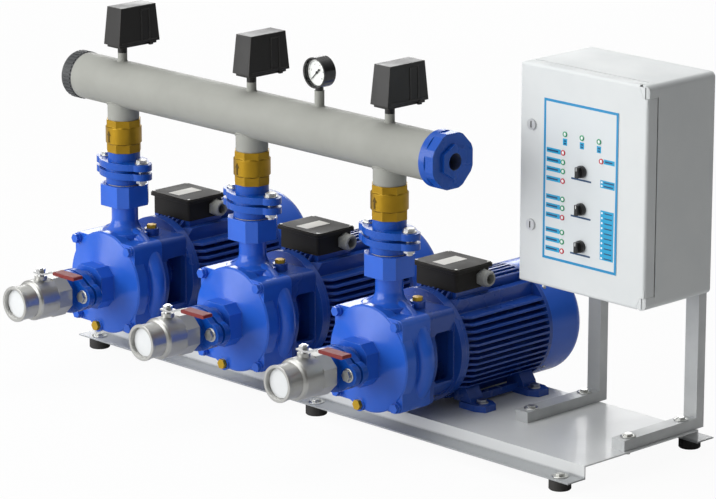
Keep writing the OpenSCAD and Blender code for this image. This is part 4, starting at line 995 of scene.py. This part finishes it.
@dataclass
class Manifold:
    """Delivery manifold with its caps, switches and gauge; sizes in millimetres."""

    axes: list[Vector]
    pipe_r: float = 44.45
    branch_r: float = 30.15
    branch_bead: float = 2.0
    socket_r: float = 9.0
    socket_bead: float = 1.2
    weld_points: int = 48
    cover_h: float = 72.0
    cover_half: float = 22.0
    cover_taper: float = 2.0
    rib_rise: Pair = (-0.5, 0.8)
    outlet_inset: float = 1.5
    scale_from: float = -45.0
    scale_sweep: float = 270.0
    scale_top: int = 10
    number_r: float = 15.2
    number_h: float = 5.0
    ink: float = 0.06

    def build(self) -> None:
        """Put finishes on the manifold's nodes and add welds, ribs, thread and scale."""
        SHOP.dress(PIPE_PAINT, "manifold_pipe", "manifold_branches")
        SHOP.dress(FLANGE_BLUE, "outlet_cap")
        SHOP.dress(STOP_DARK, "stop_cap")
        SHOP.dress(SWITCH_ABS, "pressure_switches", "switch_covers")
        SHOP.dress(GAUGE_BLACK, "gauge_case", "gauge_pointer")
        SHOP.dress(DIAL_WHITE, "gauge_dial")
        SHOP.dress(ClearLens(), "gauge_lens")
        self.welds()
        self.switch_ribs()
        self.outlet_thread()
        self.gauge_marks()

    def saddle(self, x: float, r: float, side: int) -> list[Vector]:
        """Give the closed line where a branch meets the pipe.

        Args:
            x: place of the branch along the pipe, in metres.
            r: the branch's radius.
            side: 1 for the pipe's upper side, -1 for the lower.

        Returns:
            Points of the line, in order.
        """
        low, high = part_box("manifold_pipe")
        middle = (low + high) / 2
        loop = []
        for k in range(self.weld_points):
            turn = math.tau * k / self.weld_points
            u, v = r * math.cos(turn), r * math.sin(turn)
            rise = side * math.sqrt(self.pipe_r ** 2 - v * v)
            loop.append(Vector((x + u * MM, middle.y + v * MM, middle.z + rise * MM)))
        return loop

    def welds(self) -> None:
        """Add a weld bead along each saddle between a branch and the pipe."""
        low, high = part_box("gauge_case")
        kit = bead_kit(PIPE_PAINT)
        branches = [a.x for a in self.axes]
        sockets = branches + [(low.x + high.x) / 2]
        loops = [(self.saddle(x, self.branch_r, -1), self.branch_bead) for x in branches]
        loops += [(self.saddle(x, self.socket_r, 1), self.socket_bead) for x in sockets]

        def build(work: Work) -> None:
            """Sweep one bead along each line.

            Args:
                work: mesh in progress.
            """
            for loop, bead in loops:
                work.from_mesh(kit.run("weld", loop, Bead_radius=bead * MM))

        build_piece("weld_beads", build, PIPE_PAINT, "frame")

    def switch_ribs(self) -> None:
        """Add the moulded ribs on the right face of each pressure switch's cover."""
        low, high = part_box("switch_covers")
        middle = (low.y + high.y) / 2
        foot = high.z - self.cover_h * MM
        frame_bars = [(4.0, 7.0, 6.0, 64.0), (24.0, 27.0, 6.0, 64.0), (4.0, 27.0, 62.0, 64.5)]
        bars = frame_bars + [(-44.0, 44.0, 3.0, 5.5)]

        def build(work: Work) -> None:
            """Lean each bar against the tapered face.

            Args:
                work: mesh in progress.
            """
            for axis in self.axes:
                for y0, y1, z0, z1 in bars:
                    for corner in bmesh.ops.create_cube(work, size=1.0)["verts"]:
                        y = y1 if corner.co.y > 0 else y0
                        z = z1 if corner.co.z > 0 else z0
                        face = self.cover_half - self.cover_taper * z / self.cover_h
                        x = face + self.rib_rise[corner.co.x > 0]
                        corner.co = Vector((axis.x + x * MM, middle + y * MM, foot + z * MM))

        build_piece("switch_ribs", build, SWITCH_ABS, "frame")

    def outlet_thread(self) -> None:
        """Add the thread in the outlet cap's mouth."""
        low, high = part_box("outlet_cap")
        mouth = Vector((high.x - self.outlet_inset * MM, (low.y + high.y) / 2, (low.z + high.z) / 2))
        set_thread("outlet_thread", [mouth], Vector((-1, 0, 0)), STOP_DARK, radius=15.6,
                   crest=0.8, turns=14)

    def number(self, value: int, place: Vector) -> bpy.types.Mesh:
        """Make one upright number of the scale.

        Args:
            value: the number.
            place: its middle.

        Returns:
            A thin mesh that faces the front.
        """
        curve = bpy.data.curves.new("number", "FONT")
        curve.body, curve.size, curve.extrude = str(value), self.number_h * MM, self.ink * MM
        curve.align_x, curve.align_y = "CENTER", "CENTER"
        holder = bpy.data.objects.new("number", curve)
        bpy.context.scene.collection.objects.link(holder)
        made = bpy.data.meshes.new_from_object(holder.evaluated_get(bpy.context.evaluated_depsgraph_get()))
        made.transform(Matrix.Translation(place) @ Matrix.Rotation(math.radians(90), 4, "X"))
        bpy.data.objects.remove(holder)
        return made

    def gauge_marks(self) -> None:
        """Draw the gauge's scale: fine and bold ticks and plain numbers."""
        low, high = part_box("gauge_dial")
        middle = Vector(((low.x + high.x) / 2, low.y - self.ink * MM, (low.z + high.z) / 2))
        kit = tick_kit(DIAL_INK)
        work = bmesh.new()
        for count, radius, length, width, thick in ((51, 21.6, 1.6, 0.3, 0.12), (11, 21.0, 3.0, 0.7, 0.14)):
            work.from_mesh(kit.run("ticks", [middle], [FRONT], Count=count, Radius=radius * MM,
                                   Start=math.radians(self.scale_from),
                                   Sweep=math.radians(self.scale_sweep), Length=length * MM,
                                   Width=width * MM, Thickness=thick * MM))
        for value in range(0, self.scale_top + 1, 2):
            angle = math.radians(self.scale_from + self.scale_sweep * (1 - value / self.scale_top))
            place = Vector((math.cos(angle), 0, math.sin(angle))) * self.number_r * MM
            work.from_mesh(self.number(value, middle + place))
        made = bpy.data.meshes.new("gauge_marks")
        work.to_mesh(made)
        work.free()
        set_piece("gauge_marks", made, DIAL_INK, "frame")


@dataclass
class Cabinet:
    """Control cabinet with its printed panel, lamps and knobs; places in the set's own millimetres."""

    film_x: Pair = (589.5, 764.5)
    film_z: Pair = (354.0, 644.0)
    border: float = 4.8
    ink: float = 0.15
    strip_x: Pair = (596.5, 630.0)
    strip_half: float = 4.4
    row_x: Pair = (598.5, 624.0)
    row_half: float = 1.5
    lamp_x: float = 636.0
    green_z: tuple[float, ...] = (535.0, 518.5, 468.0, 452.0, 408.0, 391.0)
    red_z: tuple[float, ...] = (552.0, 501.0, 435.0, 374.0)
    top_x: tuple[float, ...] = (640.0, 680.0, 720.0)
    top_z: float = 586.0
    side_lamp: Pair = (726.0, 552.0)
    knob_z: tuple[float, ...] = (526.0, 458.5, 391.0)
    chart_rows: int = 10
    chart_pitch: float = 9.0
    hinge_pin: float = 8.0
    trim_depths: Pair = (0.3, 1.4)
    lock_z: tuple[tuple[str, float], ...] = (("upper", 591.0), ("lower", 409.0))
    slot_half: Pair = (1.45, 5.9)
    slot_depths: Pair = (0.5, 1.45)
    line_half: float = 0.6
    line_depths: Pair = (-0.15, 0.3)
    line_ends: Pair = (3.0, 2.0)
    film_front: float = 0.0

    def __post_init__(self) -> None:
        """Read where the film's front face lies, in metres."""
        self.film_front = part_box("control_panel")[0].y

    def build(self) -> None:
        """Put finishes on the cabinet's nodes and add prints, lamps and small trims."""
        SHOP.dress(CABINET_COAT, "cabinet_box", "cabinet_door", "hinge_blocks")
        SHOP.dress(SEAL_FOAM, "door_seal")
        SHOP.dress(GALVANISED, "gear_plate")
        SHOP.dress(GEAR_GREY, "switchgear")
        SHOP.dress(PANEL_FILM, "control_panel")
        SHOP.dress(LOCK_ZINC, "lock_upper", "lock_lower")
        SHOP.dress(KNOB_BLACK, "selector_knob_1", "selector_knob_2", "selector_knob_3")
        self.panel_print()
        self.panel_dots()
        self.lamps()
        self.hinge_trims()
        self.lock_slots()
        self.knob_marks()

    def on_film(self, x: float, z: float, lift: float = 0.0) -> Vector:
        """Give a place on the film's front face, or lifted off it."""
        return Vector(((x + NECK_X) * MM, self.film_front - lift * MM, z * MM))

    def print_bars(self, name: str, bars: Sequence[tuple[float, float, float, float]], finish: Finish,
                   layer: int = 1) -> None:
        """Print flat bars on the film.

        Args:
            name: the piece's name.
            bars: left, right, bottom and top of each.
            finish: colour of the print.
            layer: how many prints lie one over the other.
        """
        def build(work: Work) -> None:
            """Add one thin box for each bar.

            Args:
                work: mesh in progress.
            """
            for x0, x1, z0, z1 in bars:
                block(work, self.on_film(x0, z0, layer * self.ink), self.on_film(x1, z1))

        build_piece(name, build, finish, "door")

    def panel_print(self) -> None:
        """Print the border, the strips beside the lamps, the chart and the bars under the knobs."""
        x0, x1 = self.film_x
        z0, z1 = self.film_z
        b = self.border
        sides = [(x0, x1, z1 - b, z1), (x0, x1, z0, z0 + b)]
        sides += [(x0, x0 + b, z0 + b, z1 - b), (x1 - b, x1, z0 + b, z1 - b)]
        self.print_bars("panel_border", sides, PRINT_BLUE)
        lamp_z = self.green_z + self.red_z
        strips = [(*self.strip_x, z - self.strip_half, z + self.strip_half) for z in lamp_z]
        strips += [(732.0, 757.0, 548.3, 556.9), (724.5, 758.0, 505.0, 519.0), (726.0, 757.0, 376.0, 465.0)]
        strips += [(x - 5.0, x + 5.0, 566.0, 578.0) for x in self.top_x]
        self.print_bars("panel_strips", strips, PRINT_CYAN)
        falls = [self.chart_pitch * k for k in range(self.chart_rows)]
        marks = [(*self.row_x, z - self.row_half, z + self.row_half) for z in lamp_z]
        marks += [(735.0, 752.0, 551.2, 554.0), (733.0, 756.0, 514.0, 516.4), (733.0, 754.0, 507.6, 510.0)]
        marks += [(735.5, 753.0, 459.2 - fall, 461.2 - fall) for fall in falls]
        marks += [(x - 2.6, x + 2.6, z, z + 2.6) for x in self.top_x for z in (568.0, 572.6)]
        marks += [(656.0, 703.0, z - 17.2, z - 14.0) for z in self.knob_z]
        self.print_bars("panel_rows", marks, PRINT_NAVY, 2)

    def turned(self, profile: Sequence[Pair], spots: Sequence[Pair], steps: int) -> Callable[[Work], None]:
        """Give a function that turns one profile at every spot of the film.

        Args:
            profile: radius and height pairs.
            spots: place of each turned form.
            steps: sides of the turn.

        Returns:
            A function that fills a bmesh.
        """
        def build(work: Work) -> None:
            """Turn the profile at each spot.

            Args:
                work: mesh in progress.
            """
            for x, z in spots:
                lathe(work, profile, facing(self.on_film(x, z), FRONT), steps)

        return build

    def panel_dots(self) -> None:
        """Print the column of pale dots at the chart's left edge."""
        spots = [(729.6, 460.2 - self.chart_pitch * k) for k in range(self.chart_rows)]
        spots += [(728.0, 515.2), (728.0, 508.8)]
        dot = [(0, 0), (1.9, 0), (1.9, 0.3), (0, 0.3)]
        build_piece("panel_dots", self.turned(dot, spots, 20), PRINT_WHITE, "door")

    def lamps(self) -> None:
        """Build the lamps: a coloured ring round a pale diffuser."""
        green = [(x, self.top_z) for x in self.top_x] + [(self.lamp_x, z) for z in self.green_z]
        red = [(self.lamp_x, z) for z in self.red_z] + [self.side_lamp]
        ring = [(3.0, 0), (5.0, 0), (5.1, 0.8), (4.7, 1.5), (4.0, 1.8), (3.4, 1.5), (3.0, 0.9), (3.0, 0)]
        disc = [(0, 0), (3.05, 0), (3.05, 0.8), (2.4, 1.4), (1.2, 1.7), (0, 1.8)]
        first = build_piece("lamp_rings_green", self.turned(ring, green, 32), LENS_GREEN, "door")
        build_piece("lamp_rings_red", self.turned(ring, red, 32), LENS_RED, "door")
        build_piece("lamp_diffusers", self.turned(disc, green + red, 32), LENS_PALE, "door")
        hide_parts("indicator_lamps")

    def hinge_trims(self) -> None:
        """Close the door's notch beside each hinge block with a thin corner sheet."""
        low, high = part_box("cabinet_door")
        pin = high.x - self.hinge_pin * MM
        middle, half = (low.z + high.z) / 2, (high.z - low.z) / 2
        form = [(-11.8, 3.0), (0.5, 3.0), (0.5, 35.5), (-1.4, 35.5)]

        def build(work: Work) -> None:
            """Lay one sheet at the upper and one at the lower hinge.

            Args:
                work: mesh in progress.
            """
            for way in (1, -1):
                prism(work, *([Vector((pin + x * MM, low.y + depth * MM, middle + way * (half - z * MM)))
                               for x, z in form] for depth in self.trim_depths))

        build_piece("hinge_trims", build, CABINET_COAT, "door")

    def lock_slots(self) -> None:
        """Paint shade into the key slot of each quarter-turn lock with a black bar in its bottom."""
        for name, z in self.lock_z:
            low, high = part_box(f"lock_{name}")
            x = (low.x + high.x) / 2

            def build(work: Work) -> None:
                """Lay one thin black bar in the bottom of the slot, as painted shade."""
                block(work, *(Vector((x + side * self.slot_half[0] * MM, low.y + depth * MM,
                                      (z + side * self.slot_half[1]) * MM))
                              for side, depth in zip((-1, 1), self.slot_depths)))

            build_piece(f"lock_slot_{name}", build, DIAL_INK, f"{name}_lock")

    def knob_marks(self) -> None:
        """Add the pale pointer line on each selector knob."""
        for k in (1, 2, 3):
            low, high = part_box(f"selector_knob_{k}")
            x = (low.x + high.x) / 2

            def build(work: Work) -> None:
                """Lay one thin line on the upper half of the knob's ridge."""
                ends = (low.z + high.z) / 2 + self.line_ends[0] * MM, high.z - self.line_ends[1] * MM
                block(work, *(Vector((x + side * self.line_half * MM, low.y + depth * MM, z))
                              for side, depth, z in zip((-1, 1), self.line_depths, ends)))

            build_piece(f"knob_line_{k}", build, PRINT_WHITE, f"knob_{k}")


@dataclass
class Studio:
    """White studio: pale floor, a large front light, an overhead softbox, a rim light and the camera."""

    eye: tuple[float, float, float] = (4.9876, -4.8270, 2.1494)
    aim: tuple[float, float, float] = (0.00675, 0.03775, 0.2994)
    lens: float = 196.96
    roll: float = 0.049
    middle: Vector = field(default_factory=lambda: Vector((0, 0, 0.3)))
    key_way: tuple[float, float, float] = (-0.42, -0.86, 0.30)
    key_reach: float = 4.5
    ambient: float = 0.72
    gloss: float = 0.85

    def build(self) -> None:
        """Set up camera, lights, world and floor."""
        self.camera()
        key = self.middle + Vector(self.key_way).normalized() * self.key_reach
        self.panel_light("key", key, size=(4.4, 3.2), power=176.0)
        self.panel_light("overhead", Vector((-0.5, 0.4, 3.9)), size=(3.4, 2.6), power=66.0)
        self.panel_light("rim", Vector((-3.5, 3.4, 1.55)), size=(2.4, 1.1), power=36.0)
        self.world()
        self.floor()
        bpy.context.scene.view_settings.view_transform = "Standard"

    def camera(self) -> None:
        """Set the camera at the photograph's viewing angle."""
        data = bpy.data.cameras.new("camera")
        data.lens, data.sensor_width, data.sensor_fit, data.clip_end = self.lens, 36.0, "HORIZONTAL", 100.0
        made = bpy.data.objects.new("camera", data)
        bpy.context.scene.collection.objects.link(made)
        look = (Vector(self.aim) - Vector(self.eye)).to_track_quat("-Z", "Y").to_matrix().to_4x4()
        roll = Matrix.Rotation(math.radians(self.roll), 4, "Z")
        made.matrix_world = Matrix.Translation(self.eye) @ look @ roll
        bpy.context.scene.camera = made

    def panel_light(self, name: str, place: Vector, size: Pair, power: float) -> None:
        """Add a soft rectangular light that looks at the set.

        Args:
            name: the light's name.
            place: where it stands.
            size: its width and height in metres.
            power: watts.
        """
        data = bpy.data.lights.new(name, "AREA")
        data.shape, data.size, data.size_y, data.energy = "RECTANGLE", size[0], size[1], power
        made = bpy.data.objects.new(name, data)
        bpy.context.scene.collection.objects.link(made)
        made.matrix_world = facing(place, place - self.middle)
        made.visible_camera = False

    def world(self) -> None:
        """White for the camera and glass, a graded level for mirrors, and a soft level for the rest."""
        made = bpy.data.worlds.new("studio")
        bpy.context.scene.world = made
        made.use_nodes = True
        tree = made.node_tree
        tree.nodes.clear()
        ray = add(tree, "ShaderNodeLightPath").node.outputs
        both = add(tree, "ShaderNodeMath", {0: ray["Is Camera Ray"], 1: ray["Is Transmission Ray"]},
                   operation="MAXIMUM")
        sky = add(tree, "ShaderNodeTexCoord", out="Generated")
        way = add(tree, "ShaderNodeSeparateXYZ", {0: sky}).node.outputs
        lean = add(tree, "ShaderNodeVectorMath", {0: sky, 1: (0.8, 0.6, 0.0)}, "Value",
                   operation="DOT_PRODUCT")
        soft = add(tree, "ShaderNodeMapRange", {0: lean, 1: -0.6, 2: 0.7, 3: self.ambient, 4: 0.03})
        high = add(tree, "ShaderNodeMapRange", {0: way["Z"], 1: 0.05, 2: 0.9, 3: 0.4, 4: self.gloss})
        near = add(tree, "ShaderNodeMapRange", {0: way["X"], 1: -0.2, 2: 0.7, 3: 1.0, 4: 0.18})
        shine = add(tree, "ShaderNodeMath", {0: high, 1: near}, operation="MULTIPLY")
        seen = add(tree, "ShaderNodeMix", {0: ray["Is Glossy Ray"], 2: soft, 3: shine})
        level = add(tree, "ShaderNodeMix", {0: both, 2: seen, 3: 1.0})
        back = add(tree, "ShaderNodeBackground", {"Color": (1, 1, 1, 1), "Strength": level})
        add(tree, "ShaderNodeOutputWorld", {"Surface": back})

    def floor(self) -> None:
        """Lay the pale floor, which stays white to the camera and keeps the set's shadow."""
        mesh = bpy.data.meshes.new("floor")
        mesh.from_pydata([(-30, -30, 0), (30, -30, 0), (30, 30, 0), (-30, 30, 0)], [], [(0, 1, 2, 3)])
        made = bpy.data.objects.new("floor", mesh)
        bpy.context.scene.collection.objects.link(made)
        paint = new_material("studio_floor")
        tree = paint.node_tree
        ray = add(tree, "ShaderNodeLightPath").node.outputs
        matt = add(tree, "ShaderNodeBsdfDiffuse", {"Color": (0.72, 0.72, 0.72, 1)})
        glow = add(tree, "ShaderNodeEmission", {"Color": (1, 1, 1, 1), "Strength": 1.0})
        share = add(tree, "ShaderNodeMath", {0: ray["Is Camera Ray"], 1: 0.95}, operation="MULTIPLY")
        mixed = add(tree, "ShaderNodeMixShader", {0: share, 1: matt, 2: glow})
        add(tree, "ShaderNodeOutputMaterial", {"Surface": mixed})
        mesh.materials.append(paint)


def main() -> None:
    """Build the studio, dress every sub-assembly and report each piece."""
    Studio().build()
    BasePlate().build()
    pumps = PumpUnits()
    pumps.build()
    Valves(pumps.axes).build()
    Manifold(pumps.axes).build()
    Cabinet().build()


if __name__ == "__main__":
    main()
